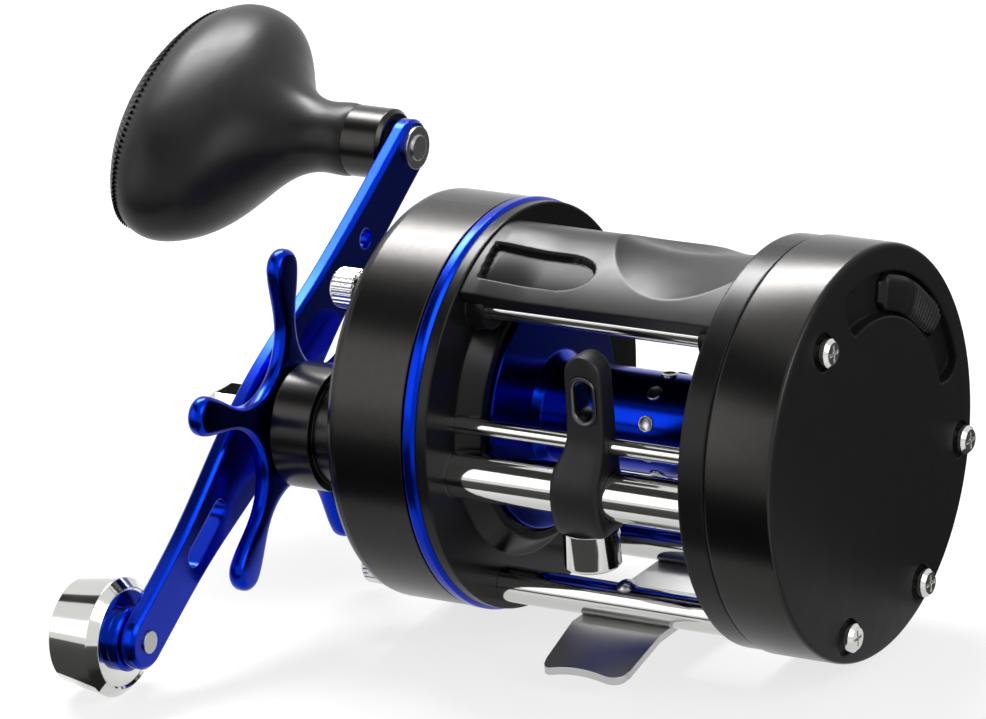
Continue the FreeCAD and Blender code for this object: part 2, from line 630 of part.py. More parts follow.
# ---------------------------------------------------------------- drive shaft and drag
def drive_shaft():
    body = rod(-FRAME_OUT, ARM_OUT, DRIVE_SHAFT_R, DRIVE_Y, DRIVE_Z)
    thread = rod(ARM_OUT, ARM_OUT - NUT_H, DRIVE_SHAFT_R - 0.5, DRIVE_Y, DRIVE_Z)
    flats = 0.6
    body = body.fuse(thread)
    for side in (-1, 1):
        z = DRIVE_Z + side * DRIVE_SHAFT_R
        cut = block(ARM_OUT, ARM_IN, DRIVE_Y - 4, DRIVE_Y + 4, min(z, z - side * flats),
                    max(z, z - side * flats))
        body = body.cut(cut)
    return body


def drag_sleeve():
    return ring(DRAG_OUT, STAR_IN, SLEEVE_R, DRIVE_SHAFT_R, DRIVE_Y, DRIVE_Z)


def main_gear():
    toward = degrees(atan2(-DRIVE_Z, -DRIVE_Y))
    body = involute_gear(MAIN_TEETH, MODULE, MAIN_OUT, MAIN_IN, DRIVE_Y, DRIVE_Z, toward, True,
                         DRIVE_SHAFT_R)
    dish = ring(MAIN_IN - 0.9, MAIN_IN, 9.6, 4.6, DRIVE_Y, DRIVE_Z)
    body = body.cut(dish)
    for number in range(5):
        angle = radians(72 * number)
        y = DRIVE_Y + 7.0 * cos(angle)
        z = DRIVE_Z + 7.0 * sin(angle)
        body = body.cut(rod(MAIN_OUT, MAIN_IN, 1.4, y, z))
    return body


def drag_washers():
    """Friction disc, keyed metal disc and pressure disc."""
    discs = []
    for number, radius in enumerate((DRAG_WASHER_R, DRAG_WASHER_R - 0.6, DRAG_WASHER_R)):
        x1 = MAIN_OUT - number * DRAG_WASHER_W
        discs.append(ring(x1 - DRAG_WASHER_W, x1, radius, DRIVE_SHAFT_R, DRIVE_Y, DRIVE_Z))
    return Part.makeCompound(discs)


def level_wind_drive_gear():
    toward = degrees(atan2(WORM_Z - DRIVE_Z, WORM_Y - DRIVE_Y))
    return involute_gear(WIND_DRIVE_TEETH, WIND_MODULE, WIND_GEAR_OUT, WIND_GEAR_IN,
                         DRIVE_Y, DRIVE_Z, toward, True, DRIVE_SHAFT_R)


def star_wheel():
    """Five armed drag wheel: concave arcs between thin necks, and round tips."""
    step = 2 * pi / STAR_ARMS
    edges = []

    def spot(angle, radius, side):
        return Vec(STAR_OUT, DRIVE_Y + radius * cos(angle) - side * sin(angle),
                   DRIVE_Z + radius * sin(angle) + side * cos(angle))

    lean = pi / STAR_ARMS
    arc_centre = (STAR_HUB_R - STAR_NECK) / (1 - sin(lean))
    neck_at = arc_centre * cos(lean)
    for number in range(STAR_ARMS):
        here = radians(STAR_TURN) + step * number
        after = here + step
        edges.append(Part.Arc(spot(here, neck_at, STAR_NECK), spot(here + lean, STAR_HUB_R, 0),
                              spot(after, neck_at, -STAR_NECK)).toShape())
        for side in (-1, 1):
            flare = Part.BezierCurve()
            flare.setPoles([spot(here, neck_at, side * STAR_NECK),
                            spot(here, (2 * neck_at + STAR_REACH) / 3, side * STAR_NECK),
                            spot(here, (neck_at + 2 * STAR_REACH) / 3, side * STAR_TIP_R),
                            spot(here, STAR_REACH, side * STAR_TIP_R)])
            edges.append(flare.toShape())
        edges.append(Part.Arc(spot(here, STAR_REACH, -STAR_TIP_R),
                              spot(here, STAR_REACH + STAR_TIP_R, 0),
                              spot(here, STAR_REACH, STAR_TIP_R)).toShape())
    body = plate(edges, STAR_OUT, STAR_IN)
    rims = [e for e in body.Edges if abs(e.BoundBox.XLength) < 0.01]
    body = body.makeChamfer(0.55, rims)
    return body.cut(rod(STAR_OUT - 1, STAR_IN + 1, DRIVE_SHAFT_R + RUN, DRIVE_Y, DRIVE_Z))


# ---------------------------------------------------------------- handle
def handle_arm():
    """Flat arm: two smooth sides through the half widths, and a round end at each pin."""
    knob_y, knob_z = on_arm(KNOB_REACH)
    weight_y, weight_z = on_arm(-WEIGHT_REACH)

    def edge_spot(reach, side):
        y, z = on_arm(reach)
        return Vec(ARM_OUT, y - side * sin(radians(ARM_ANGLE)), z + side * cos(radians(ARM_ANGLE)))

    edges = []
    for side in (-1, 1):
        curve = Part.BSplineCurve()
        curve.interpolate([edge_spot(reach, side * half) for reach, half in ARM_HALF_W])
        edges.append(curve.toShape())
    for reach, half in (ARM_HALF_W[0], ARM_HALF_W[-1]):
        tip = reach + half if reach > 0 else reach - half
        edges.append(Part.Arc(edge_spot(reach, -half), edge_spot(tip, 0),
                              edge_spot(reach, half)).toShape())
    body = plate(edges, ARM_OUT, ARM_IN)
    rims = [e for e in body.Edges if abs(e.BoundBox.XLength) < 0.01]
    body = body.makeChamfer(0.5, rims)
    near, far, half = ARM_SLOT
    near_y, near_z = on_arm(-near)
    far_y, far_z = on_arm(-far)
    body = body.cut(tapered_bar(ARM_OUT, ARM_IN, near_y, near_z, half + 0.001, far_y, far_z, half))
    hole_y, hole_z = on_arm(ARM_HOLE[0])
    body = body.cut(rod(ARM_OUT, ARM_IN, ARM_HOLE[1], hole_y, hole_z))
    body = body.cut(rod(ARM_OUT, ARM_IN, SPINDLE_R, knob_y, knob_z))
    body = body.cut(rod(ARM_OUT, ARM_IN, SPINDLE_R - 0.35, weight_y, weight_z))
    return body.cut(drive_shaft())


def handle_nut():
    """Domed hexagon nut on the end of the drive shaft."""
    corners = [Vec(ARM_OUT - NUT_H, DRIVE_Y + NUT_R * cos(radians(60 * n)),
                   DRIVE_Z + NUT_R * sin(radians(60 * n))) for n in range(7)]
    nut = Part.Face(Part.makePolygon(corners)).extrude(Vec(NUT_H, 0, 0))
    cap_r = NUT_R - 0.7
    ball_r = (cap_r ** 2 + NUT_DOME ** 2) / (2 * NUT_DOME)
    ball = Part.makeSphere(ball_r, Vec(ARM_OUT - NUT_H - NUT_DOME + ball_r, DRIVE_Y, DRIVE_Z))
    dome = ball.common(rod(ARM_OUT - NUT_H - NUT_DOME, ARM_OUT - NUT_H, NUT_R, DRIVE_Y, DRIVE_Z))
    return joined([nut, dome]).cut(drive_shaft())


KNOB_Y, KNOB_Z = on_arm(KNOB_REACH)
WEIGHT_Y, WEIGHT_Z = on_arm(-WEIGHT_REACH)
SPACER_OUT = ARM_OUT - 0.5
FERRULE_IN = SPACER_OUT - SIDE_GAP
FERRULE_OUT = FERRULE_IN - FERRULE_L
KNOB_OUT = FERRULE_OUT - KNOB_L


def knob_spindle():
    """Spindle with its round head and washer on the arm's inner side."""
    body = rod(ARM_IN, KNOB_OUT + 6, SPINDLE_R, KNOB_Y, KNOB_Z)
    body = body.fuse(rod(ARM_IN, ARM_IN + 0.6, SPINDLE_WASHER_R, KNOB_Y, KNOB_Z))
    body = body.fuse(rod(ARM_IN + 0.6, ARM_IN + 0.9, SPINDLE_HEAD_R, KNOB_Y, KNOB_Z))
    return body.removeSplitter()


def knob_spacer():
    return ring(SPACER_OUT, ARM_OUT, 3.0, SPINDLE_R, KNOB_Y, KNOB_Z)


def knob_ferrule():
    edge = 0.6
    body = turned([(FERRULE_OUT, 0), (FERRULE_OUT, FERRULE_R), (FERRULE_IN - edge, FERRULE_R),
                   (FERRULE_IN, FERRULE_R - edge), (FERRULE_IN, 0)], KNOB_Y, KNOB_Z)
    return body.cut(rod(FERRULE_OUT, FERRULE_IN, SPINDLE_R + RUN, KNOB_Y, KNOB_Z))


def power_knob():
    """Oblong grip: oval sections lofted from a round neck to a broad domed end."""
    stations = (          # (share of the length, swell of the long half, swell of the short half)
        (0.0, 0.0, 0.0), (0.14, 0.016, 0.014), (0.28, 0.107, 0.13), (0.38, 0.30, 0.36),
        (0.48, 0.61, 0.66), (0.58, 0.86, 0.88), (0.68, 0.97, 0.98), (0.78, 1.0, 1.0),
        (0.87, 0.935, 0.90), (0.95, 0.77, 0.70), (1.0, 0.555, 0.42))
    wires = []
    for share, long_swell, short_swell in stations:
        long_half = KNOB_NECK_R + (KNOB_LONG - KNOB_NECK_R) * long_swell
        short_half = KNOB_NECK_R + (KNOB_SHORT - KNOB_NECK_R) * short_swell
        if long_half < short_half + 0.01:
            long_half = short_half + 0.01
        oval = Part.Ellipse(Vec(0, 0, 0), long_half, short_half)
        wires.append(Part.Wire(oval.toShape()))
        wires[-1].translate(Vec(0, 0, share * KNOB_L))
    body = Part.makeLoft(wires, True, False)
    body.rotate(Vec(0, 0, 0), Vec(0, 0, 1), 90)
    body.rotate(Vec(0, 0, 0), Vec(0, 1, 0), -90)
    body.rotate(Vec(0, 0, 0), ALONG, KNOB_TILT)
    body.translate(Vec(FERRULE_OUT, KNOB_Y, KNOB_Z))
    return body.cut(rod(FERRULE_OUT, KNOB_OUT + 5, BEARING_R, KNOB_Y, KNOB_Z))


def knob_bearings():
    """Two bearings pressed into the knob, one at each end of its bore."""
    ends = (FERRULE_OUT - BEARING_W, KNOB_OUT + 6.5)
    return Part.makeCompound([ring(x, x + BEARING_W, BEARING_R, SPINDLE_R + RUN, KNOB_Y, KNOB_Z)
                              for x in ends])


def weight_boss():
    edge = 0.4
    body = turned([(ARM_OUT, 0), (ARM_OUT, WEIGHT_BOSS_R - edge), (ARM_OUT - edge, WEIGHT_BOSS_R),
                   (ARM_OUT - WEIGHT_BOSS_L, WEIGHT_BOSS_R), (ARM_OUT - WEIGHT_BOSS_L, 0)],
                  WEIGHT_Y, WEIGHT_Z)
    return body.cut(weight_pin())


def counterweight():
    """Turned weight: shallow dish round the boss, broad bevel, sides that lean in."""
    x1 = ARM_OUT - WEIGHT_BOSS_L
    bevel = 1.3
    dish = 0.4
    body = turned([(x1, 0), (x1, WEIGHT_R - bevel - dish), (x1 + dish, WEIGHT_R - bevel),
                   (x1 - bevel + dish, WEIGHT_R), (x1 - WEIGHT_L + bevel, WEIGHT_END_R + 0.25),
                   (x1 - WEIGHT_L, WEIGHT_END_R - bevel), (x1 - WEIGHT_L, 0)], WEIGHT_Y, WEIGHT_Z)
    return body.cut(weight_pin())


def weight_pin():
    return rod(ARM_IN + 0.3, ARM_OUT - WEIGHT_BOSS_L - WEIGHT_L + 3, SPINDLE_R - 0.35,
               WEIGHT_Y, WEIGHT_Z)


# ---------------------------------------------------------------- spool
def spool():
    flange = SPOOL_FLANGE_R
    w = SPOOL_FLANGE_W
    end = SPOOL_END
    body = turned([(-end, 0), (-end, flange), (-end + w, flange), (-end + w + 1.0, ARBOR_R + 1.2),
                   (-end + w + 2.2, ARBOR_R), (end - w - 2.2, ARBOR_R),
                   (end - w - 1.0, ARBOR_R + 1.2), (end - w, flange), (end, flange), (end, 0)])
    for number in range(ANCHOR_HOLES):
        y, z = polar(36.0 * number - 3.0, 1.0)
        hole = Part.makeCylinder(ANCHOR_HOLE_R, ANCHOR_DEPTH + 2,
                                 Vec(ANCHOR_X, y * (ARBOR_R - ANCHOR_DEPTH),
                                     z * (ARBOR_R - ANCHOR_DEPTH)), Vec(0, y, z))
        body = body.cut(hole)
    for side in (-1, 1):
        body = body.cut(ring(side * end, side * (end - 1.0), flange - 1.2, ARBOR_R - 1.5))
    return body.cut(rod(-end, end, SHAFT_R))


LEFT_BEARING_X = LEFT_EDGE - COVER_WALL - BEARING_W
SHAFT_LEFT_END = LEFT_BEARING_X + BEARING_W - 0.2
SHAFT_RIGHT_END = RIGHT_FACE - CAP_BOSS_L - 0.4


def spool_shaft():
    body = rod(SHAFT_RIGHT_END, SHAFT_LEFT_END, SHAFT_R)
    return body.cut(drive_pin())


def drive_pin():
    return Part.makeCylinder(DRIVE_PIN_R, 2 * DRIVE_PIN_HALF,
                             Vec(DRIVE_PIN_X, 0, -DRIVE_PIN_HALF))


BRAKE_X = SPOOL_END + 0.3
CLICK_GEAR_X = BRAKE_X + 3.6


def brake_hub():
    """Hub on the spool's palm side with radial pins for the brake blocks."""
    body = ring(SPOOL_END, BRAKE_X + 2.4, 3.4, SHAFT_R)
    for number in range(6):
        y, z = polar(60 * number, 1)
        body = body.fuse(Part.makeCylinder(0.5, 6.4, Vec(BRAKE_X + 1.2, 2 * y, 2 * z), Vec(0, y, z)))
    return body.cut(rod(SPOOL_END, BRAKE_X + 3, SHAFT_R)).removeSplitter()


def brake_blocks():
    blocks = []
    for number in range(6):
        y, z = polar(60 * number, 1)
        solid = Part.makeCylinder(1.1, 2.0, Vec(BRAKE_X + 1.2, 6.6 * y, 6.6 * z), Vec(0, y, z))
        blocks.append(solid.cut(Part.makeCylinder(0.5, 9, Vec(BRAKE_X + 1.2, 0, 0), Vec(0, y, z))))
    return Part.makeCompound(blocks)


def click_gear():
    """Toothed wheel of the bait clicker."""
    points = []
    for number in range(32):
        radius = 5.6 if number % 2 else 4.6
        y, z = polar(360 * number / 32, radius)
        points.append(Vec(CLICK_GEAR_X, y, z))
    face = Part.Face(Part.makePolygon(points + [points[0]]))
    return face.extrude(Vec(1.0, 0, 0)).cut(rod(CLICK_GEAR_X, CLICK_GEAR_X + 1, SHAFT_R))


def spool_bearings():
    """One bearing in the palm side cover, one in the handle side cover."""
    bore = SHAFT_R + RUN
    return Part.makeCompound([
        ring(LEFT_BEARING_X, LEFT_BEARING_X + BEARING_W, BEARING_R, bore),
        ring(RIGHT_FACE - CAP_BOSS_L, RIGHT_FACE - CAP_BOSS_L + BEARING_W, CAP_BEARING_R, bore)])


# ---------------------------------------------------------------- drive bearings
def roller_clutch():
    """One-way roller bearing round the drag sleeve, which stops back winding."""
    return ring(COLLAR_END + 3.2, COLLAR_END + 11.2, CLUTCH_BEARING_R, SLEEVE_R + RUN,
                DRIVE_Y, DRIVE_Z)


def drive_bearing():
    return ring(COLLAR_END + 0.4, COLLAR_END + 2.9, CLUTCH_BEARING_R, SLEEVE_R + RUN,
                DRIVE_Y, DRIVE_Z)


# ---------------------------------------------------------------- level wind
def worm_tube():
    """Shield tube round the worm, slotted underneath for the pawl."""
    body = ring(-FRAME_IN - FRAME_WALL, FRAME_IN + FRAME_WALL, TUBE_R, TUBE_R - TUBE_WALL,
                WORM_Y, WORM_Z)
    reach = GUIDE_REACH + PAWL_R + 0.6
    slot = block(-reach, reach, WORM_Y - PAWL_R - 0.3, WORM_Y + PAWL_R + 0.3, WORM_Z - TUBE_R - 1,
                 WORM_Z)
    return body.cut(slot)


def worm_bushes():
    bushes = []
    for side in (-1, 1):
        bushes.append(ring(side * (FRAME_OUT - 2.4), side * FRAME_OUT, TUBE_R - TUBE_WALL,
                           WORM_END_R + RUN, WORM_Y, WORM_Z))
    return Part.makeCompound(bushes)


WORM_END_R = 1.6


def worm_shaft():
    """Worm with its crossed right and left hand grooves, and thinner ends."""
    length = FRAME_OUT - 2.4 - SIDE_GAP
    body = rod(-length, length, WORM_R, WORM_Y, WORM_Z)
    body = body.fuse(rod(-length, FRAME_OUT, WORM_END_R, WORM_Y, WORM_Z))
    body = body.fuse(rod(WIND_GEAR_OUT, -length, WORM_END_R, WORM_Y, WORM_Z))
    return body.removeSplitter()


def worm_gear():
    toward = degrees(atan2(DRIVE_Z - WORM_Z, DRIVE_Y - WORM_Y))
    return involute_gear(WORM_GEAR_TEETH, WIND_MODULE, WIND_GEAR_OUT, WIND_GEAR_IN,
                         WORM_Y, WORM_Z, toward, False, WORM_END_R)


def guide_rod():
    return rod(-FRAME_OUT, FRAME_OUT, GUIDE_ROD_R, ROD_Y, ROD_Z)


# the carriage may run until it nearly touches the frame's raised collars
GUIDE_REACH = SPOOL_END - COLLAR_LIP - GUIDE_W / 2 - GUIDE_END_GAP
GUIDE_FRONT = WORM_Y - TUBE_R - GUIDE_WALL
GUIDE_BACK = ROD_Y + GUIDE_ROD_R + 1.3
UPRIGHT_SET_BACK = 1.9   # how far the upright stands behind the collar's front
GUIDE_TOP = ROD_Z + GUIDE_RISE
GUIDE_LOW = WORM_Z - TUBE_R - GUIDE_DROP
EYE_Z = ROD_Z + EYE_RISE


def line_guide():
    """Carriage: a round-topped plate with the eye, a bored block on the rod and a collar
    round the tube, down to the seat of the pawl's cap."""
    x0 = GUIDE_X - GUIDE_W / 2
    x1 = GUIDE_X + GUIDE_W / 2
    half = GUIDE_W / 2
    top = GUIDE_TOP - half
    front = GUIDE_FRONT + UPRIGHT_SET_BACK
    around = TUBE_R + GUIDE_WALL
    upright = block(x0, x1, front, GUIDE_BACK, WORM_Z, top)
    crown = Part.makeCylinder(half, GUIDE_BACK - front, Vec(GUIDE_X, front, top), Vec(0, 1, 0))
    collar = rod(x0, x1, around, WORM_Y, WORM_Z)
    base = Part.makeCylinder(half, WORM_Z - GUIDE_LOW, Vec(GUIDE_X, WORM_Y, GUIDE_LOW))
    body = joined([upright, crown, collar, base])
    behind = block(x0 - 1, x1 + 1, GUIDE_BACK, GUIDE_BACK + 9, GUIDE_LOW - 1, GUIDE_TOP)
    body = body.cut(behind)
    body = body.cut(rod(x0 - 1, x1 + 1, TUBE_R + RUN, WORM_Y, WORM_Z))
    body = body.cut(rod(x0 - 1, x1 + 1, GUIDE_ROD_R + RUN, ROD_Y, ROD_Z))
    body = body.cut(eye_tool(EYE_HALF_W + EYE_RIM, EYE_HALF_H + EYE_RIM, GUIDE_FRONT - 1,
                             GUIDE_BACK + 1))
    pawl_hole = Part.makeCylinder(PAWL_R + RUN, TUBE_R + 6, Vec(GUIDE_X, WORM_Y, GUIDE_LOW - 1))
    return body.cut(pawl_hole)


def eye_tool(half_w, half_h, y0, y1):
    """Upright oval prism along Y for the line's eye."""
    rise = half_h - half_w
    body = block(GUIDE_X - half_w, GUIDE_X + half_w, y0, y1, EYE_Z - rise, EYE_Z + rise)
    for side in (-1, 1):
        body = body.fuse(Part.makeCylinder(half_w, y1 - y0, Vec(GUIDE_X, y0, EYE_Z + side * rise),
                                           Vec(0, 1, 0)))
    return body.removeSplitter()


def guide_insert():
    body = eye_tool(EYE_HALF_W + EYE_RIM, EYE_HALF_H + EYE_RIM,
                    GUIDE_FRONT + UPRIGHT_SET_BACK - 0.4, GUIDE_BACK + 0.2)
    return body.cut(eye_tool(EYE_HALF_W, EYE_HALF_H, GUIDE_FRONT - 2, GUIDE_BACK + 2))


def pawl_cap():
    """Screw cap under the carriage that holds the pawl up."""
    body = Part.makeCylinder(PAWL_CAP_R, PAWL_CAP_H, Vec(GUIDE_X, WORM_Y, GUIDE_LOW - PAWL_CAP_H))
    low = [e for e in body.Edges if e.CenterOfMass.z < GUIDE_LOW - PAWL_CAP_H + 0.1]
    body = body.makeFillet(0.5, low)
    return body.cut(Part.makeCylinder(PAWL_R + 0.4, 3.0, Vec(GUIDE_X, WORM_Y, GUIDE_LOW - 3.0)))


def guide_pawl():
    """Swivelling pawl: a round stem with a blade that reaches up to the worm."""
    low = GUIDE_LOW - 3.0 + SIDE_GAP
    stem = Part.makeCylinder(PAWL_R, WORM_Z - TUBE_R - low, Vec(GUIDE_X, WORM_Y, low))
    top = WORM_Z - WORM_R - 0.15
    blade = block(GUIDE_X - PAWL_R * 0.8, GUIDE_X + PAWL_R * 0.8, WORM_Y - 0.45, WORM_Y + 0.45,
                  WORM_Z - TUBE_R - 0.5, top)
    return joined([stem, blade])


# ---------------------------------------------------------------- palm side
HEAD_SEAT = LEFT_EDGE + 0.7


def left_side_cover():
    body = cover_shell(COVER_SEAT, LEFT_EDGE, LEFT_FACE, COVER_WALL, RIM_FILLET)
    boss = rod(LEFT_BEARING_X, LEFT_EDGE - COVER_WALL, BEARING_R + 1.5)
    body = body.fuse(boss)
    body = body.cut(rod(LEFT_BEARING_X, LEFT_BEARING_X + BEARING_W, BEARING_R))
    for angle, radius, own in PILLARS:
        y, z = polar(angle, radius)
        body = body.fuse(rod(COVER_SEAT, LEFT_EDGE - COVER_WALL, SCREW_R + 1.4, y, z))
        body = body.cut(rod(COVER_SEAT, LEFT_FACE, SCREW_R + SCREW_GAP, y, z))
        body = body.cut(rod(HEAD_SEAT, LEFT_FACE + 1, SCREW_HEAD_R + 0.5, y, z))
    pocket_in = CLICK_R - CLICK_W / 2 - 0.5
    pocket_out = CLICK_R + CLICK_W / 2 + 0.5
    x0 = LEFT_EDGE + 1.0 - CLICK_DEPTH - SIDE_GAP
    floor = sector(x0 - 1.0, LEFT_EDGE - COVER_WALL, pocket_in - 1, pocket_out + 1, CLICK_TO - 3,
                   CLICK_FROM + 3)
    body = body.fuse(floor)
    body = body.cut(sector(x0, LEFT_FACE + 1, pocket_in, pocket_out, CLICK_TO, CLICK_FROM))
    slot = sector(x0 - 2, x0 + 1, CLICK_R - 1.0, CLICK_R + 1.0, CLICK_TO + 6, CLICK_FROM - 6)
    return body.cut(slot).removeSplitter()


def cover_screws():
    screws = []
    seat = HEAD_SEAT
    for angle, radius, own in PILLARS:
        y, z = polar(angle, radius)
        shank = rod(FRAME_IN - 6, seat, SCREW_R, y, z)
        head = rod(seat, seat + SCREW_HEAD_H, SCREW_HEAD_R, y, z)
        head = head.makeChamfer(0.5, [e for e in head.Edges if e.CenterOfMass.x > seat + 1])
        cross = block(seat + SCREW_HEAD_H - 0.7, seat + SCREW_HEAD_H, y - 1.2, y + 1.2,
                      z - 0.22, z + 0.22)
        cross = cross.fuse(block(seat + SCREW_HEAD_H - 0.7, seat + SCREW_HEAD_H, y - 0.22, y + 0.22,
                                 z - 1.2, z + 1.2))
        screws.append(joined([shank, head]).cut(cross))
    return Part.makeCompound(screws)


def thumb_screws():
    """Take-down screws of the handle side plate, with fluted finger heads."""
    screws = []
    face = RIGHT_FACE - RIGHT_DOME
    for angle, radius, own in (TOP_PILLAR, LOW_FRONT_PILLAR, REAR_PILLAR):
        y, z = polar(angle, radius)
        shank = rod(face, -(FRAME_IN - 6), SCREW_R, y, z)
        neck = rod(face - 1.4, face, 2.0, y, z)
        head = rod(face - 5.6, face - 1.4, 2.8, y, z)
        head = head.makeChamfer(0.35, [e for e in head.Edges if e.BoundBox.XLength < 0.01])
        for number in range(12):
            fy, fz = polar(30 * number, 3.05)
            head = head.cut(rod(face - 6, face - 1.3, 0.42, y + fy, z + fz))
        screws.append(joined([shank, neck, head]))
    return Part.makeCompound(screws)


def click_slider():
    """Curved thumb slide of the bait clicker, with ribs across its pad."""
    inner = CLICK_R - CLICK_W / 2
    outer = CLICK_R + CLICK_W / 2
    x0 = LEFT_EDGE + 1.0 - CLICK_DEPTH
    top = LEFT_FACE + 0.2
    first = CLICK_TO + 2
    last = first + CLICK_PAD
    body = sector(x0, x0 + 1.6, inner, outer, first, last)
    pad = sector(x0 + 1.6, top, inner + 0.6, outer - 0.6, first + 1, first + 15)
    body = body.fuse(pad)
    tongue = sector(x0 - 1.8, x0, CLICK_R - 0.8, CLICK_R + 0.8, first + 8, first + 16)
    body = body.fuse(tongue)
    for number in range(4):
        start = first + 3 + 3.0 * number
        body = body.cut(sector(top - 0.4, top + 1, inner, outer, start, start + 1.2))
    return body.removeSplitter()


CLICK_PIVOT_Y, CLICK_PIVOT_Z = polar(-44.0, 12.5)


def click_pawl():
    """Spring pawl that rattles on the click gear; it hangs on its own pin."""
    y, z = CLICK_PIVOT_Y, CLICK_PIVOT_Z
    tip_y, tip_z = polar(-28.0, 7.6)
    body = tapered_bar(CLICK_GEAR_X, CLICK_GEAR_X + 1.0, y, z, 2.0, tip_y, tip_z, 0.7)
    return body.cut(rod(CLICK_GEAR_X, CLICK_GEAR_X + 1.0, 0.8 + RUN, y, z))


def click_pin():
    return rod(CLICK_GEAR_X - 0.5, LEFT_EDGE - COVER_WALL, 0.8, CLICK_PIVOT_Y, CLICK_PIVOT_Z)


def brake_drum():
    """Ring inside the palm side cover that the brake blocks rub on."""
    return ring(BRAKE_X, BRAKE_X + 2.6, 10.4, 9.4)


def tension_cap():
    """Fluted cap at the spool's axis that sets the cast control."""
    bore = CAP_BEARING_R + CAP_BOSS_WALL + RUN
    outer = bore + CAP_WALL
    x1 = RIGHT_FACE - RIGHT_DOME - SIDE_GAP
    body = turned([(x1, bore), (x1, outer), (x1 - CAP_L + 0.6, outer), (x1 - CAP_L, outer - 0.6),
                   (x1 - CAP_L, 0), (x1 - CAP_L + 0.8, 0), (x1 - CAP_L + 0.8, bore)])
    for number in range(18):
        y, z = polar(20 * number, outer + 0.25)
        body = body.cut(rod(x1 - CAP_L + 0.8, x1, 0.45, y, z))
    return body


# ---------------------------------------------------------------- write every part
PARTS = {
    "frame_right_ring": lambda: frame_plate(-1),
    "frame_left_ring": lambda: frame_plate(1),
    "thumb_rest": thumb_rest,
    "pillar_top_front": lambda: pillar(*TOP_PILLAR),
    "pillar_low_front": lambda: pillar(*LOW_FRONT_PILLAR),
    "pillar_low_rear": lambda: pillar(*LOW_REAR_PILLAR),
    "pillar_rear": lambda: pillar(*REAR_PILLAR),
    "reel_foot": reel_foot,
    "foot_rivets": foot_rivets,
    "trim_ring": trim_ring,
    "right_side_cover": right_side_cover,
    "gear_bridge": gear_bridge,
    "yoke_posts": yoke_posts,
    "left_side_cover": left_side_cover,
    "cover_screws": cover_screws,
    "thumb_screws": thumb_screws,
    "worm_tube": worm_tube,
    "worm_bushes": worm_bushes,
    "guide_rod": guide_rod,
    "spool_bearings": spool_bearings,
    "drive_bearing": drive_bearing,
    "roller_clutch": roller_clutch,
    "brake_drum": brake_drum,
    "click_pin": click_pin,
    "yoke_springs": yoke_springs,
    "drive_shaft": drive_shaft,
    "drag_sleeve": drag_sleeve,
    "main_gear": main_gear,
    "drag_washers": drag_washers,
    "level_wind_drive_gear": level_wind_drive_gear,
    "handle_arm": handle_arm,
    "handle_nut": handle_nut,
    "knob_spindle": knob_spindle,
    "knob_spacer": knob_spacer,
    "weight_boss": weight_boss,
    "counterweight": counterweight,
    "weight_pin": weight_pin,
    "star_wheel": star_wheel,
    "power_knob": power_knob,
    "knob_ferrule": knob_ferrule,
    "knob_bearings": knob_bearings,
    "spool": spool,
    "spool_shaft": spool_shaft,
    "drive_pin": drive_pin,
    "brake_hub": brake_hub,
    "brake_blocks": brake_blocks,
    "click_gear": click_gear,
    "pinion_gear": pinion_gear,
    "pinion_yoke": pinion_yoke,
    "clutch_button": clutch_button,
    "clutch_slider": clutch_slider,
    "worm_shaft": worm_shaft,
    "worm_gear": worm_gear,
    "line_guide": line_guide,
    "guide_insert": guide_insert,
    "pawl_cap": pawl_cap,
    "guide_pawl": guide_pawl,
    "click_slider": click_slider,
    "click_pawl": click_pawl,
    "tension_cap": tension_cap,
}

for name, make in PARTS.items():
    save(name, make())
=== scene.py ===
import json
import math
import bpy
import bmesh
from mathutils import Matrix, Vector

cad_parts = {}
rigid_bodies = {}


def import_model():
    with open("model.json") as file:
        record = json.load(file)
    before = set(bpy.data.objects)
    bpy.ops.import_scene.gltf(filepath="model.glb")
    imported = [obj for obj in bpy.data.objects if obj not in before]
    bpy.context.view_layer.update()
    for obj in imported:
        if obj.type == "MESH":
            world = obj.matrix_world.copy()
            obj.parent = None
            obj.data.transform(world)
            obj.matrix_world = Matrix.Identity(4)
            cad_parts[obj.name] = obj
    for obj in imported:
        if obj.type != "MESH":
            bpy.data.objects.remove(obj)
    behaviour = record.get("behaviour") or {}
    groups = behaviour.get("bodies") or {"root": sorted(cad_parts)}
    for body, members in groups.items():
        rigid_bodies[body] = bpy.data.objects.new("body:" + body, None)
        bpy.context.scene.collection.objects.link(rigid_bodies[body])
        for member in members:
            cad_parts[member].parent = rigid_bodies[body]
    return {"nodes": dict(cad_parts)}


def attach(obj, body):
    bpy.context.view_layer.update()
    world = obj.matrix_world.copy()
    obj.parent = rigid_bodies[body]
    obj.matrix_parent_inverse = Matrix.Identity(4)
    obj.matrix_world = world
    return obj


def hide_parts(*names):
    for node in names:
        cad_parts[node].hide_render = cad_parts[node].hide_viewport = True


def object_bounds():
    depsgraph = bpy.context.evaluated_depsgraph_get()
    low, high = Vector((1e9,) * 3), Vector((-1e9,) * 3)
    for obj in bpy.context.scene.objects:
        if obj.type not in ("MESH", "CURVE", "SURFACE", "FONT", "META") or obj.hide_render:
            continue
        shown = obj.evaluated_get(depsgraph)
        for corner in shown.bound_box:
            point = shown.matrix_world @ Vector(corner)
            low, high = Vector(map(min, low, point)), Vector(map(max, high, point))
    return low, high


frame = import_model()
cad_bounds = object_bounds()
nodes = frame["nodes"]
MM = 0.001
AXIS_Z = 27.164       # height of the spool's axis above the rod seat, in millimetres

# ---------------------------------------------------------------- camera
VIEW_AZIMUTH = 32.42
VIEW_ELEVATION = 20.0
VIEW_ROLL = -4.28
VIEW_DISTANCE = 1.0309
VIEW_CENTRE = Vector((-0.0211, -0.0090, 0.0373))
LENS_MM = 262.7
SENSOR_MM = 36.0


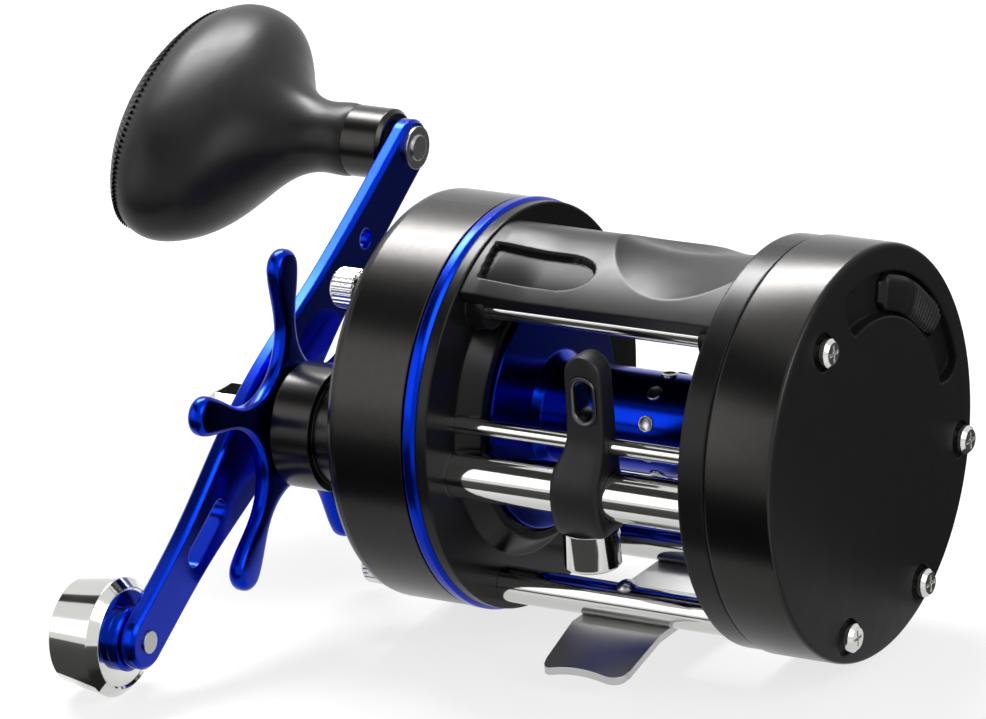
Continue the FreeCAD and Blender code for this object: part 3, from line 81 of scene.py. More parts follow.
def add_camera():
    """A long lens at the product's three-quarter front view, rolled a little."""
    data = bpy.data.cameras.new("camera")
    data.sensor_width = SENSOR_MM
    data.lens = LENS_MM
    camera = bpy.data.objects.new("camera", data)
    bpy.context.scene.collection.objects.link(camera)
    turn = (Matrix.Rotation(math.radians(VIEW_AZIMUTH), 4, "Z")
            @ Matrix.Rotation(math.radians(90.0 - VIEW_ELEVATION), 4, "X")
            @ Matrix.Rotation(math.radians(VIEW_ROLL), 4, "Z"))
    place = VIEW_CENTRE + turn.to_3x3() @ Vector((0.0, 0.0, VIEW_DISTANCE))
    camera.matrix_world = Matrix.Translation(place) @ turn
    bpy.context.scene.camera = camera


# ---------------------------------------------------------------- floor, world and lamps
# all in metres and watts
BACKDROP_COLOUR = (0.86, 0.86, 0.86, 1.0)
WORLD_FILL = 0.40
LAMPS = {
    # name: (direction from the reel, distance, width, height, power)
    "top_back_softbox": ((-0.45, 0.40, 0.80), 0.9, 0.65, 0.22, 16.0),
    "front_left_softbox": ((-0.60, -0.75, 0.45), 1.2, 0.8, 0.8, 2.5),
    "right_softbox": ((0.95, -0.10, 0.55), 1.1, 0.6, 0.6, 6.0),
}
TABLE_REFLECTION_SHEETS = {
    # dark sheets on the table that only reflections show, which paint dark reflections: (x0, x1,
    # y0, y1)
    "back_dark_reflection": (-0.03, 0.60, 0.02, 0.80),
    "front_dark_reflection": (-0.35, 0.05, -0.34, -0.055),
}
REFLECTION_SHEET_LIFT = 0.0003    # clear of the floor
# a dark sheet above the front that only reflections show, a painted dark reflection in the rims and
# chrome
HIGH_REFLECTION_SHEET = ((-0.504, -0.33, 0.80), 0.55, 0.80, 0.22)   # direction, distance, width, height
# colour of the sheets that paint dark reflections
REFLECTION_SHEET_COLOUR = (0.03, 0.03, 0.03, 1.0)
FLOOR_HALF = 3.0
FLOOR_GLOW = 0.75     # share of plain white that the camera sees in the floor


def seen_directly(tree):
    """One for a ray from the camera, off gloss or through glass, and nought otherwise."""
    path = tree.nodes.new("ShaderNodeLightPath")
    first = tree.nodes.new("ShaderNodeMath")
    first.operation = "MAXIMUM"
    both = tree.nodes.new("ShaderNodeMath")
    both.operation = "MAXIMUM"
    tree.links.new(path.outputs["Is Camera Ray"], first.inputs[0])
    tree.links.new(path.outputs["Is Glossy Ray"], first.inputs[1])
    tree.links.new(first.outputs[0], both.inputs[0])
    tree.links.new(path.outputs["Is Transmission Ray"], both.inputs[1])
    return both.outputs[0]


def add_world():
    world = bpy.data.worlds.new("studio")
    world.use_nodes = True
    tree = world.node_tree
    background = tree.nodes["Background"]
    background.inputs["Color"].default_value = (1.0, 1.0, 1.0, 1.0)
    level = tree.nodes.new("ShaderNodeMapRange")
    level.inputs["To Min"].default_value = WORLD_FILL
    level.inputs["To Max"].default_value = 1.0
    tree.links.new(seen_directly(tree), level.inputs["Value"])
    tree.links.new(level.outputs["Result"], background.inputs["Strength"])
    bpy.context.scene.world = world


def matt_card(name, colour):
    material = bpy.data.materials.new(name)
    material.use_nodes = True
    shader = material.node_tree.nodes["Principled BSDF"]
    shader.inputs["Base Color"].default_value = colour
    shader.inputs["Roughness"].default_value = 0.9
    shader.inputs["Specular IOR Level"].default_value = 0.1
    return material


def flat_card(name, corners, material):
    """A four-cornered sheet of the stage, which isn't part of the reel."""
    mesh = bpy.data.meshes.new(name)
    mesh.from_pydata(corners, [], [(0, 1, 2, 3)])
    mesh.materials.append(material)
    card = bpy.data.objects.new(name, mesh)
    bpy.context.scene.collection.objects.link(card)
    return card


def floor_paper():
    """Pale paper that the camera sees as nearly white, with the object's shadow on it."""
    material = matt_card("floor_paper", BACKDROP_COLOUR)
    tree = material.node_tree
    glow = tree.nodes.new("ShaderNodeEmission")
    glow.inputs["Color"].default_value = (1.0, 1.0, 1.0, 1.0)
    share = tree.nodes.new("ShaderNodeMapRange")
    share.inputs["To Max"].default_value = FLOOR_GLOW
    tree.links.new(seen_directly(tree), share.inputs["Value"])
    mix = tree.nodes.new("ShaderNodeMixShader")
    tree.links.new(share.outputs["Result"], mix.inputs["Fac"])
    tree.links.new(tree.nodes["Principled BSDF"].outputs["BSDF"], mix.inputs[1])
    tree.links.new(glow.outputs["Emission"], mix.inputs[2])
    tree.links.new(mix.outputs["Shader"], tree.nodes["Material Output"].inputs["Surface"])
    return material


def add_floor():
    corners = [(x * FLOOR_HALF, y * FLOOR_HALF, cad_bounds[0].z)
               for x, y in ((-1, -1), (1, -1), (1, 1), (-1, 1))]
    flat_card("floor", corners, floor_paper())


def add_reflection_sheets():
    """Dark sheets seen only in reflections: painted dark reflections in polished surfaces, hidden
    from the camera and casting no shadow.
    """
    dark = matt_card("dark_reflection_sheet", REFLECTION_SHEET_COLOUR)
    z = cad_bounds[0].z + REFLECTION_SHEET_LIFT
    cards = []
    for name, (x0, x1, y0, y1) in TABLE_REFLECTION_SHEETS.items():
        cards.append(flat_card(name, [(x0, y0, z), (x1, y0, z), (x1, y1, z), (x0, y1, z)], dark))
    direction, distance, width, height = HIGH_REFLECTION_SHEET
    towards = Vector(direction).normalized()
    across = Vector((0.0, 0.0, 1.0)).cross(towards).normalized()
    upward = towards.cross(across)
    place = (cad_bounds[0] + cad_bounds[1]) / 2 + towards * distance
    corners = [place + across * (x * width / 2) + upward * (y * height / 2)
               for x, y in ((-1, -1), (1, -1), (1, 1), (-1, 1))]
    cards.append(flat_card("high_dark_reflection", corners, dark))
    # hidden from the camera, from diffuse light and from shadows, so that they are only painted
    # reflections
    for card in cards:
        card.visible_camera = False
        card.visible_diffuse = False
        card.visible_shadow = False


def add_lamps():
    middle = (cad_bounds[0] + cad_bounds[1]) / 2
    for name, (direction, distance, width, height, power) in LAMPS.items():
        data = bpy.data.lights.new(name, "AREA")
        data.shape = "RECTANGLE"
        data.size = width
        data.size_y = height
        data.energy = power
        lamp = bpy.data.objects.new(name, data)
        bpy.context.scene.collection.objects.link(lamp)
        towards = Vector(direction).normalized()
        lamp.location = middle + towards * distance
        lamp.rotation_euler = towards.to_track_quat("Z", "Y").to_euler()


add_camera()
add_world()
add_floor()
add_reflection_sheets()
add_lamps()


# ---------------------------------------------------------------- materials
NOISE_DETAIL = 3.0
NOISE_SPAN = (0.3, 0.7)       # what the noise mostly stays between
GLOSS_SCALE = 1.7             # how much finer gloss wanders than colour
BEVEL_SAMPLES = 6


def new_material(name, colour, metallic, roughness, specular=0.5):
    material = bpy.data.materials.new(name)
    material.use_nodes = True
    shader = material.node_tree.nodes["Principled BSDF"]
    shader.inputs["Base Color"].default_value = (*colour, 1.0)
    shader.inputs["Metallic"].default_value = metallic
    shader.inputs["Roughness"].default_value = roughness
    shader.inputs["Specular IOR Level"].default_value = specular
    return material


def noise(material, scale):
    """Noise in the part's own coordinates; scale is cells per metre."""
    tree = material.node_tree
    place = tree.nodes.new("ShaderNodeTexCoord")
    texture = tree.nodes.new("ShaderNodeTexNoise")
    texture.inputs["Scale"].default_value = scale
    texture.inputs["Detail"].default_value = NOISE_DETAIL
    tree.links.new(place.outputs["Object"], texture.inputs["Vector"])
    return texture.outputs["Fac"]


def vary_roughness(material, low, high, scale):
    tree = material.node_tree
    spread = tree.nodes.new("ShaderNodeMapRange")
    spread.inputs["From Min"].default_value = NOISE_SPAN[0]
    spread.inputs["From Max"].default_value = NOISE_SPAN[1]
    spread.inputs["To Min"].default_value = low
    spread.inputs["To Max"].default_value = high
    tree.links.new(noise(material, scale), spread.inputs["Value"])
    tree.links.new(spread.outputs["Result"], tree.nodes["Principled BSDF"].inputs["Roughness"])


def vary_colour(material, dark, light, scale):
    tree = material.node_tree
    mix = tree.nodes.new("ShaderNodeMix")
    mix.data_type = "RGBA"
    mix.inputs["A"].default_value = (*dark, 1.0)
    mix.inputs["B"].default_value = (*light, 1.0)
    tree.links.new(noise(material, scale), mix.inputs["Factor"])
    tree.links.new(mix.outputs["Result"], tree.nodes["Principled BSDF"].inputs["Base Color"])


def add_relief(material, depth, scale, rounding):
    """A fine grain of that depth in metres, over edges rounded to that radius."""
    tree = material.node_tree
    edge = tree.nodes.new("ShaderNodeBevel")
    edge.samples = BEVEL_SAMPLES
    edge.inputs["Radius"].default_value = rounding
    bump = tree.nodes.new("ShaderNodeBump")
    bump.inputs["Distance"].default_value = depth
    bump.inputs["Strength"].default_value = 1.0
    tree.links.new(noise(material, scale), bump.inputs["Height"])
    tree.links.new(edge.outputs["Normal"], bump.inputs["Normal"])
    tree.links.new(bump.outputs["Normal"], tree.nodes["Principled BSDF"].inputs["Normal"])


def finish(name, colour, metallic, roughness, spread=0.03, tint=0.12, grain=0.0000005,
           grain_scale=4000.0, scale=220.0, rounding=0.0002, **more):
    """A material whose colour and gloss wander a little over the surface, with a fine grain.

    Lengths are in metres, and scales in cells per metre.
    """
    material = new_material(name, colour, metallic, roughness, **more)
    dark = [c * (1.0 - tint) for c in colour]
    light = [min(1.0, c * (1.0 + tint)) for c in colour]
    vary_colour(material, dark, light, scale)
    vary_roughness(material, roughness - spread, roughness + spread,
                   scale * GLOSS_SCALE)
    add_relief(material, grain, grain_scale, rounding)
    return material


FINISHES = {
    "black_gloss": finish("black_gloss_paint", (0.005, 0.005, 0.0055), 0.0, 0.24, spread=0.01,
                          specular=0.16, rounding=0.0006),
    "black_satin": finish("black_satin_paint", (0.006, 0.006, 0.0062), 0.0, 0.33, specular=0.17,
                          grain=0.000003, rounding=0.0004),
    "black_matte": finish("black_matte_plastic", (0.009, 0.009, 0.0095), 0.0, 0.45, specular=0.25,
                          grain=0.000006),
    "blue_anodised": finish("blue_anodised_metal", (0.0014, 0.020, 0.38), 1.0, 0.20, spread=0.01,
                            rounding=0.0004),
    "chrome": finish("polished_chrome", (0.64, 0.64, 0.62), 1.0, 0.08, spread=0.01, tint=0.02),
    "steel": finish("satin_steel", (0.46, 0.46, 0.46), 1.0, 0.25, tint=0.05),
    "dark_steel": finish("dark_steel", (0.10, 0.10, 0.11), 1.0, 0.3),
    "brass": finish("cut_brass", (0.72, 0.47, 0.16), 1.0, 0.28),
    "rubber": finish("soft_touch_rubber", (0.006, 0.006, 0.0062), 0.0, 0.36, specular=0.20,
                     grain=0.000002),
    "friction": finish("friction_composite", (0.09, 0.075, 0.06), 0.0, 0.7, grain=0.00003),
    "white_plastic": finish("white_nylon", (0.78, 0.77, 0.74), 0.0, 0.4),
    "black_anodised": finish("black_anodised_metal", (0.032, 0.031, 0.030), 1.0, 0.25,
                             spread=0.01, scale=900.0, rounding=0.0003),
    # the sunk panel's paint: glossier, but darker and far less reflective than the saddle's, partly
    # its own gloss and partly painted shade in the recess
    "panel_gloss": finish("panel_gloss_and_shade_paint", (0.004, 0.004, 0.0045), 0.0, 0.24, spread=0.01,
                          specular=0.05),
    "foot_steel": finish("brushed_foot_steel", (0.52, 0.52, 0.52), 1.0, 0.38, spread=0.02,
                         tint=0.04, scale=60.0),
    "face_paint": finish("dull_face_paint", (0.006, 0.006, 0.006), 0.0, 0.42, specular=0.10,
                         grain=0.000002, rounding=0.0006),
}
NODE_FINISH = {
    # nodes whose finish isn't their slot's
    "right_side_cover": "black_anodised",
    "knob_ferrule": "black_anodised",
    "reel_foot": "foot_steel",
    "frame_right_ring": "black_gloss",
    "frame_left_ring": "black_gloss",
}
for name, node in nodes.items():
    for slot in node.material_slots:
        key = NODE_FINISH.get(name, slot.material.name.split(".")[0])
        slot.material = FINISHES[key]


# ---------------------------------------------------------------- making pieces
def polar(angle, radius):
    """(y, z) in millimetres, at an angle from the top of the spool's axis towards the front."""
    turn = math.radians(angle)
    return -radius * math.sin(turn), AXIS_Z + radius * math.cos(turn)


def blend_curve(value, stations):
    """Smooth steps between (place, height) stations."""
    if value <= stations[0][0]:
        return stations[0][1]
    for (a, low), (b, high) in zip(stations, stations[1:]):
        if value <= b:
            share = (value - a) / (b - a)
            return low + (high - low) * share * share * (3.0 - 2.0 * share)
    return stations[-1][1]


def shade(mesh, sharp_angle):
    """Smooth shading that keeps every edge sharper than the angle."""
    work = bmesh.new()
    work.from_mesh(mesh)
    bmesh.ops.remove_doubles(work, verts=work.verts, dist=0.000001)
    bmesh.ops.recalc_face_normals(work, faces=work.faces)
    limit = math.radians(sharp_angle)
    for edge in work.edges:
        edge.smooth = len(edge.link_faces) == 2 and edge.calc_face_angle(0.0) < limit
    for face in work.faces:
        face.smooth = True
    work.to_mesh(mesh)
    work.free()


def add_piece(name, mesh, slot, body, replaced=(), sharp_angle=32.0):
    """A visible piece; the mesh takes its slot's finish if it has none of its own."""
    shade(mesh, sharp_angle)
    piece = bpy.data.objects.new(name, mesh)
    bpy.context.scene.collection.objects.link(piece)
    if not mesh.materials:
        mesh.materials.append(FINISHES[slot])
    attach(piece, body)
    if replaced:
        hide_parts(*replaced)


def mesh_of(name, vertices, faces):
    """A mesh from points in millimetres."""
    mesh = bpy.data.meshes.new(name)
    mesh.from_pydata([(x * MM, y * MM, z * MM) for x, y, z in vertices], [], faces)
    return mesh


def circle(centre, radius, steps=64):
    return [(centre[0] + radius * math.cos(2 * math.pi * n / steps),
             centre[1] + radius * math.sin(2 * math.pi * n / steps)) for n in range(steps)]


def ring_quads(rows, count, closed=False, flipped=False):
    """Faces between each ring of count points and the next; closed joins the last to the first."""
    faces = []
    for row in range(rows if closed else rows - 1):
        here, after = row * count, (row + 1) % rows * count
        for spot in range(count):
            above = (spot + 1) % count
            quad = (here + spot, here + above, after + above, after + spot)
            faces.append((quad[0], *quad[:0:-1]) if flipped else quad)
    return faces


def loft(rings, closed=False):
    """Vertices and faces of a body through rings of the same count; an open one has flat ends."""
    rows, count = len(rings), len(rings[0])
    vertices = [point for ring in rings for point in ring]
    faces = ring_quads(rows, count, closed)
    if not closed:
        last = (rows - 1) * count
        faces += [tuple(range(count - 1, -1, -1)), tuple(range(last, last + count))]
    return vertices, faces


def lathe(profile, centre, steps):
    """Vertices and faces of a closed profile of (place, radius) turned about a line along X."""
    vertices = []
    for step in range(steps):
        turn = 2 * math.pi * step / steps
        for x, radius in profile:
            vertices.append((x, centre[0] + radius * math.cos(turn),
                             centre[1] + radius * math.sin(turn)))
    return vertices, ring_quads(steps, len(profile), closed=True, flipped=True)


def prism(ring, shift):
    """A closed ring of points carried along a shift."""
    count = len(ring)
    vertices = list(ring) + [tuple(a + b for a, b in zip(point, shift)) for point in ring]
    faces = [(n, (n + 1) % count, (n + 1) % count + count, n + count) for n in range(count)]
    faces += [tuple(range(count)), tuple(range(2 * count - 1, count - 1, -1))]
    return vertices, faces


def gather(parts):
    """Several bodies' vertices and faces as one body's."""
    vertices, faces = [], []
    for more, new_faces in parts:
        start = len(vertices)
        vertices += more
        faces += [tuple(start + spot for spot in face) for face in new_faces]
    return vertices, faces


def rounded_plate(name, outlines, x0, x1, rounding):
    """A flat plate across X with rounded edges; the outlines are closed rings of (y, z)."""
    curve = bpy.data.curves.new(name + "_outline", "CURVE")
    curve.dimensions = "2D"
    curve.fill_mode = "BOTH"
    for ring in outlines:
        spline = curve.splines.new("POLY")
        spline.points.add(len(ring) - 1)
        for point, (y, z) in zip(spline.points, ring):
            point.co = (y * MM, z * MM, 0.0, 1.0)
        spline.use_cyclic_u = True
    curve.bevel_depth = rounding * MM
    curve.bevel_resolution = 4
    curve.offset = -rounding * MM
    curve.extrude = (abs(x1 - x0) / 2 - rounding) * MM
    drawn = bpy.data.objects.new(name + "_outline", curve)
    mesh = bpy.data.meshes.new_from_object(drawn)
    mesh.name = name
    bpy.data.objects.remove(drawn)
    middle = (x0 + x1) / 2 * MM
    mesh.transform(Matrix(((0, 0, 1, middle), (1, 0, 0, 0), (0, 1, 0, 0), (0, 0, 0, 1))))
    return mesh


def solid_object(name, vertices, faces):
    """A loose object to cut or to cut with."""
    mesh = mesh_of(name, vertices, faces)
    shade(mesh, 180.0)
    return bpy.data.objects.new(name, mesh)


def rod_along_x(name, x0, x1, centre, radius):
    return solid_object(name, *prism([(x0, y, z) for y, z in circle(centre, radius)],
                                     (x1 - x0, 0.0, 0.0)))


def cut_mesh(name, body, cutters):
    """The body's mesh with every cutter taken out."""
    scene_objects = bpy.context.scene.collection.objects
    for thing in (body, *cutters):
        scene_objects.link(thing)
    for cutter in cutters:
        change = body.modifiers.new(cutter.name, "BOOLEAN")
        change.operation = "DIFFERENCE"
        change.solver = "EXACT"
        change.object = cutter
    depsgraph = bpy.context.evaluated_depsgraph_get()
    mesh = bpy.data.meshes.new_from_object(body.evaluated_get(depsgraph))
    mesh.name = name
    for thing in (body, *cutters):
        bpy.data.objects.remove(thing)
    return mesh


# ---------------------------------------------------------------- thumb rest
# lengths in millimetres and angles in degrees, here and in all that follows
REST_X = 20.45        # its ends, at the frame's plates
REST_FRONT = 37.0     # angles of its front and rear edges, from the top
REST_REAR = -46.0
REST_FRONT_R = ((-20.5, 29.5), (-10.0, 28.8), (20.5, 29.0))   # radius of its round front, along x
REST_TOP = ((-6.0, 26.2), (20.5, 29.3))       # height of the sloping top, across its own slope
REST_TOP_SLOPE = 23.3
REST_SOFT = 0.7       # how softly the front turns into the top
REST_MOST_R = 29.4
REST_IN_R = 22.3
REST_PILLAR_R = 26.0  # its underside keeps clear of the top pillar and its ears
REST_PILLAR_FROM = 27.0       # in front of this angle
REST_ROWS, REST_STEPS = 220, 200
DISH = (10.5, -12.0, 14.4, 42.0, 2.8)         # middle x and angle, half sizes, depth
DISH_POWER = 2.4
PANEL_DEPTH = 1.0
PANEL = (-19.4, -7.5, -1.6)   # its outer end, where its round end starts, its tip
PANEL_ANGLE = (24.2, 7.4)     # its middle and half its height
PANEL_LEAN = 0.055    # how far its outer end leans, in mm for each degree
PANEL_POWER = 2.2     # how full its round end is
PANEL_WALL = 0.35     # width of its sloping wall
PANEL_MM = 0.5        # about a millimetre for each two degrees at its radius


def panel_share(x, angle):
    """One inside the panel and nought outside, with a short slope between."""
    start, turn, tip = PANEL
    middle, half = PANEL_ANGLE
    along = max(0.0, (x - turn) / (tip - turn))
    if along >= 1.0:
        return 0.0
    half *= (1.0 - along ** PANEL_POWER) ** 0.5
    off = angle - middle
    room = min((half - abs(off)) * PANEL_MM, x - start - PANEL_LEAN * (off + half))
    return min(1.0, max(0.0, room / PANEL_WALL))


def rest_radius(x, angle):
    front = blend_curve(x, REST_FRONT_R)
    lean = math.cos(math.radians(angle + REST_TOP_SLOPE))
    top = blend_curve(x, REST_TOP) / lean
    radius = -REST_SOFT * math.log(math.exp(-front / REST_SOFT) + math.exp(-top / REST_SOFT))
    radius = min(radius, REST_MOST_R)
    middle_x, middle_angle, half_x, half_angle, depth = DISH
    reach = math.hypot((x - middle_x) / half_x, (angle - middle_angle) / half_angle)
    if reach < 1.0:
        radius -= depth * (1.0 - reach ** DISH_POWER)
    return radius - PANEL_DEPTH * panel_share(x, angle)


def rest_spot(row, step):
    """(x, angle) of a place in the thumb rest's grid."""
    return (-REST_X + 2 * REST_X * row / REST_ROWS,
            REST_FRONT + (REST_REAR - REST_FRONT) * step / REST_STEPS)


def make_thumb_rest():
    """A saddle over the top pillar, with a dish for the thumb and a sunk panel at its front."""
    vertices = []
    for row in range(REST_ROWS + 1):
        for step in range(REST_STEPS + 1):
            x, angle = rest_spot(row, step)
            vertices.append((x, *polar(angle, rest_radius(x, angle))))
        for step in range(REST_STEPS, -1, -1):
            x, angle = rest_spot(row, step)
            inner = REST_PILLAR_R if angle > REST_PILLAR_FROM else REST_IN_R
            vertices.append((x, *polar(angle, inner)))
    count = 2 * (REST_STEPS + 1)
    faces = ring_quads(REST_ROWS + 1, count, flipped=True)
    for row in (0, REST_ROWS):
        for step in range(REST_STEPS):
            a = row * count + step
            b = row * count + count - 1 - step
            faces.append((a, a + 1, b - 1, b))
    mesh = mesh_of("thumb_rest_saddle", vertices, faces)
    mesh.materials.append(FINISHES["black_satin"])
    mesh.materials.append(FINISHES["panel_gloss"])
    # the sunk panel's faces take the darker paint, painted shade in the recess
    for row in range(REST_ROWS):
        for step in range(REST_STEPS):
            if panel_share(*rest_spot(row + 0.5, step + 0.5)) > 0.5:
                mesh.polygons[row * count + step].material_index = 1
    add_piece("thumb_rest_saddle", mesh, "black_satin", "frame", ("thumb_rest",), sharp_angle=50.0)


make_thumb_rest()

# ---------------------------------------------------------------- star drag
DRIVE = (-14.0505, 25.2893)
STAR_X = (-55.0, -52.4)
STAR_HUB_R = 9.2
STAR_NECK = 1.65
STAR_TIP_R = 2.9
STAR_REACH = 23.2
STAR_ARMS = 5
STAR_TURN = 86.5
STAR_ROUNDING = 1.05
SIDE_STEPS, TIP_STEPS, HOLLOW_STEPS = 14, 20, 26
SHAFT_HOLE_R = 2.65


def arc_through(first, middle, last, steps):
    """Points on the arc through three spots, without the last one."""
    (ax, ay), (bx, by), (cx, cy) = first, middle, last
    twice = 2 * (ax * (by - cy) + bx * (cy - ay) + cx * (ay - by))
    a2, b2, c2 = ax * ax + ay * ay, bx * bx + by * by, cx * cx + cy * cy
    ox = (a2 * (by - cy) + b2 * (cy - ay) + c2 * (ay - by)) / twice
    oy = (a2 * (cx - bx) + b2 * (ax - cx) + c2 * (bx - ax)) / twice
    radius = math.hypot(ax - ox, ay - oy)
    start = math.atan2(ay - oy, ax - ox)
    via = math.atan2(by - oy, bx - ox)
    end = math.atan2(cy - oy, cx - ox)
    sweep = (end - start) % (2 * math.pi)
    if (via - start) % (2 * math.pi) > sweep:
        sweep -= 2 * math.pi
    return [(ox + radius * math.cos(start + sweep * n / steps),
             oy + radius * math.sin(start + sweep * n / steps)) for n in range(steps)]


def bezier(a, b, c, d, steps):
    """Points on a cubic curve, without the last one."""
    points = []
    for number in range(steps):
        t = number / steps
        weights = ((1 - t) ** 3, 3 * t * (1 - t) ** 2, 3 * t * t * (1 - t), t ** 3)
        points.append(tuple(sum(w * p[axis] for w, p in zip(weights, (a, b, c, d)))
                            for axis in (0, 1)))
    return points


def star_outline():
    """Five flared prongs joined by hollow arcs, counter-clockwise from the first prong."""
    step = 2 * math.pi / STAR_ARMS
    lean = step / 2
    neck_at = (STAR_HUB_R - STAR_NECK) / (1 - math.sin(lean)) * math.cos(lean)
    points = []

    def spot(angle, radius, side):
        return (DRIVE[0] + radius * math.cos(angle) - side * math.sin(angle),
                DRIVE[1] + radius * math.sin(angle) + side * math.cos(angle))

    for number in range(STAR_ARMS):
        here = math.radians(STAR_TURN) + step * number
        flare = ((neck_at, STAR_NECK), ((2 * neck_at + STAR_REACH) / 3, STAR_NECK),
                 ((neck_at + 2 * STAR_REACH) / 3, STAR_TIP_R), (STAR_REACH, STAR_TIP_R))
        points += bezier(*[spot(here, reach, -side) for reach, side in flare], SIDE_STEPS)
        points += arc_through(spot(here, STAR_REACH, -STAR_TIP_R),
                              spot(here, STAR_REACH + STAR_TIP_R, 0),
                              spot(here, STAR_REACH, STAR_TIP_R), TIP_STEPS)
        points += bezier(*[spot(here, reach, side) for reach, side in reversed(flare)],
                         SIDE_STEPS)
        points += arc_through(spot(here, neck_at, STAR_NECK), spot(here + lean, STAR_HUB_R, 0),
                              spot(here + step, neck_at, -STAR_NECK), HOLLOW_STEPS)
    return points


add_piece("star_drag_wheel",
          rounded_plate("star_drag_wheel", [star_outline(), circle(DRIVE, SHAFT_HOLE_R)],
                        *STAR_X, STAR_ROUNDING),
          "blue_anodised", "star", ("star_wheel",))

# ---------------------------------------------------------------- line guide
WORM = (-21.41, 24.516)
GUIDE_ROD = (-20.81, 31.716)
TUBE_HOLE_R = 3.66
ROD_HOLE_R = 1.26
HOLES_X = (-9.0, 12.0)        # the cutters run out past both its sides
EYE = (2.2, 38.9)
EYE_HALF = (1.35, 2.9)
EYE_RIM = 0.85
EYE_CUT = (-30.0, 20.0)       # where its cutter starts, and its length to the rear
PAWL_X = 1.0
PAWL_HOLE = (1.4, 17.0, 6.0)  # radius, lower end, length
GUIDE_SECTIONS = (
    # (height, left, right, front, back)
    (19.0, -2.7, 4.9, -24.7, -18.3), (19.6, -3.0, 5.2, -25.2, -18.3),
    (21.0, -3.1, 5.25, -25.8, -18.3), (23.0, -3.1, 5.25, -26.2, -18.3),
    (25.0, -3.1, 5.25, -26.3, -18.3), (27.0, -3.0, 5.25, -26.0, -18.3),
    (28.6, -2.7, 5.25, -25.4, -18.4), (30.0, -2.1, 5.2, -24.5, -18.5),
    (31.4, -1.5, 5.15, -23.8, -18.6), (33.0, -1.1, 5.1, -23.4, -18.8),
    (36.0, -0.95, 5.15, -23.2, -19.0), (42.4, -0.95, 5.15, -23.1, -19.2))
GUIDE_CORNERS = 0.32          # the lower, the squarer a section is
GUIDE_TOP_STEPS = 9
GUIDE_TOP_TURN = 88.0         # the last section, just short of the top


def guide_sections():
    """The sections above, with a half round top."""
    sections = list(GUIDE_SECTIONS)
    height, left, right, front, back = sections[-1]
    middle, half = (left + right) / 2, (right - left) / 2
    for step in range(1, GUIDE_TOP_STEPS + 1):
        turn = math.radians(GUIDE_TOP_TURN) * step / GUIDE_TOP_STEPS
        reach = half * math.cos(turn)
        sections.append((height + half * math.sin(turn), middle - reach, middle + reach,
                         front, back))
    return sections


def rounded_box_ring(z, left, right, front, back, steps=56):
    ring = []
    for step in range(steps):
        turn = 2 * math.pi * step / steps
        c, s = math.cos(turn), math.sin(turn)
        across, along = abs(c) ** GUIDE_CORNERS, abs(s) ** GUIDE_CORNERS
        x = (left + right) / 2 + (right - left) / 2 * math.copysign(across, c)
        y = (front + back) / 2 + (back - front) / 2 * math.copysign(along, s)
        ring.append((x, y, z))
    return ring


def oval_ring(y, half_w, half_h, steps=48):
    """Upright oval about the eye's middle: straight sides between half circles."""
    rise = half_h - half_w
    ring = []
    for step in range(steps):
        turn = 2 * math.pi * (step + 0.5) / steps
        lift = rise if math.sin(turn) > 0 else -rise
        ring.append((EYE[0] + half_w * math.cos(turn), y,
                     EYE[1] + lift + half_w * math.sin(turn)))
    return ring


def make_line_guide():
    """Its collar and upright in one, with bores for the tube, the rod, the pawl and the eye."""
    body = solid_object("guide_body", *loft([rounded_box_ring(*section)
                                             for section in guide_sections()]))
    wide, high = (half + EYE_RIM for half in EYE_HALF)
    eye_start, eye_length = EYE_CUT
    pawl_r, pawl_low, pawl_length = PAWL_HOLE
    pawl_ring = [(x, y, pawl_low) for x, y in circle((PAWL_X, WORM[0]), pawl_r, 40)]
    cutters = [
        rod_along_x("tube_hole", *HOLES_X, WORM, TUBE_HOLE_R),
        rod_along_x("rod_hole", *HOLES_X, GUIDE_ROD, ROD_HOLE_R),
        solid_object("eye_hole", *prism(oval_ring(eye_start, wide, high), (0.0, eye_length, 0.0))),
        solid_object("pawl_hole", *prism(pawl_ring, (0.0, 0.0, pawl_length)))]
    add_piece("line_guide_body", cut_mesh("line_guide_body", body, cutters), "black_matte",
              "carriage", ("line_guide",), sharp_angle=38.0)


def make_eye_ring():
    """The hard insert in the eye, with a bead at its front."""
    front, back = GUIDE_SECTIONS[-1][3:]
    section = ((0.0, front + 0.3), (0.18, front - 0.15), (0.5, front - 0.35),
               (0.75, front - 0.3), (EYE_RIM, front), (EYE_RIM, back), (0.6, back + 0.15),
               (0.2, back + 0.1), (0.0, back - 0.2))
    rings = [oval_ring(y, EYE_HALF[0] + reach, EYE_HALF[1] + reach) for reach, y in section]
    add_piece("guide_eye_ring", mesh_of("guide_eye_ring", *loft(rings, closed=True)),
              "dark_steel", "carriage", ("guide_insert",), sharp_angle=60.0)


make_line_guide()
make_eye_ring()

# ---------------------------------------------------------------- spool's line anchors
ANCHORS = 10
ANCHOR_FIRST = -3.0
ANCHOR_X = 2.5
ARBOR_R = 7.5
ANCHOR_PROFILE = ((1.2, -0.15), (1.18, 0.16), (1.08, 0.24), (0.95, 0.18), (0.3, 0.05))
ANCHOR_STEPS = 28


def anchor_rings(number):
    """A dished rim's rings of points, from its (radius, height above the arbor) profile."""
    out_y, out_z = polar(360.0 / ANCHORS * number + ANCHOR_FIRST, 1.0)
    out = Vector((0.0, out_y, out_z - AXIS_Z))
    side = Vector((1.0, 0.0, 0.0))
    round_way = out.cross(side)
    middle = Vector((ANCHOR_X, 0.0, AXIS_Z)) + out * ARBOR_R
    rings = []
    for radius, lift in ANCHOR_PROFILE:
        turns = [2 * math.pi * step / ANCHOR_STEPS for step in range(ANCHOR_STEPS)]
        rings.append([tuple(middle + out * lift + side * radius * math.cos(turn)
                            + round_way * radius * math.sin(turn)) for turn in turns])
    return rings


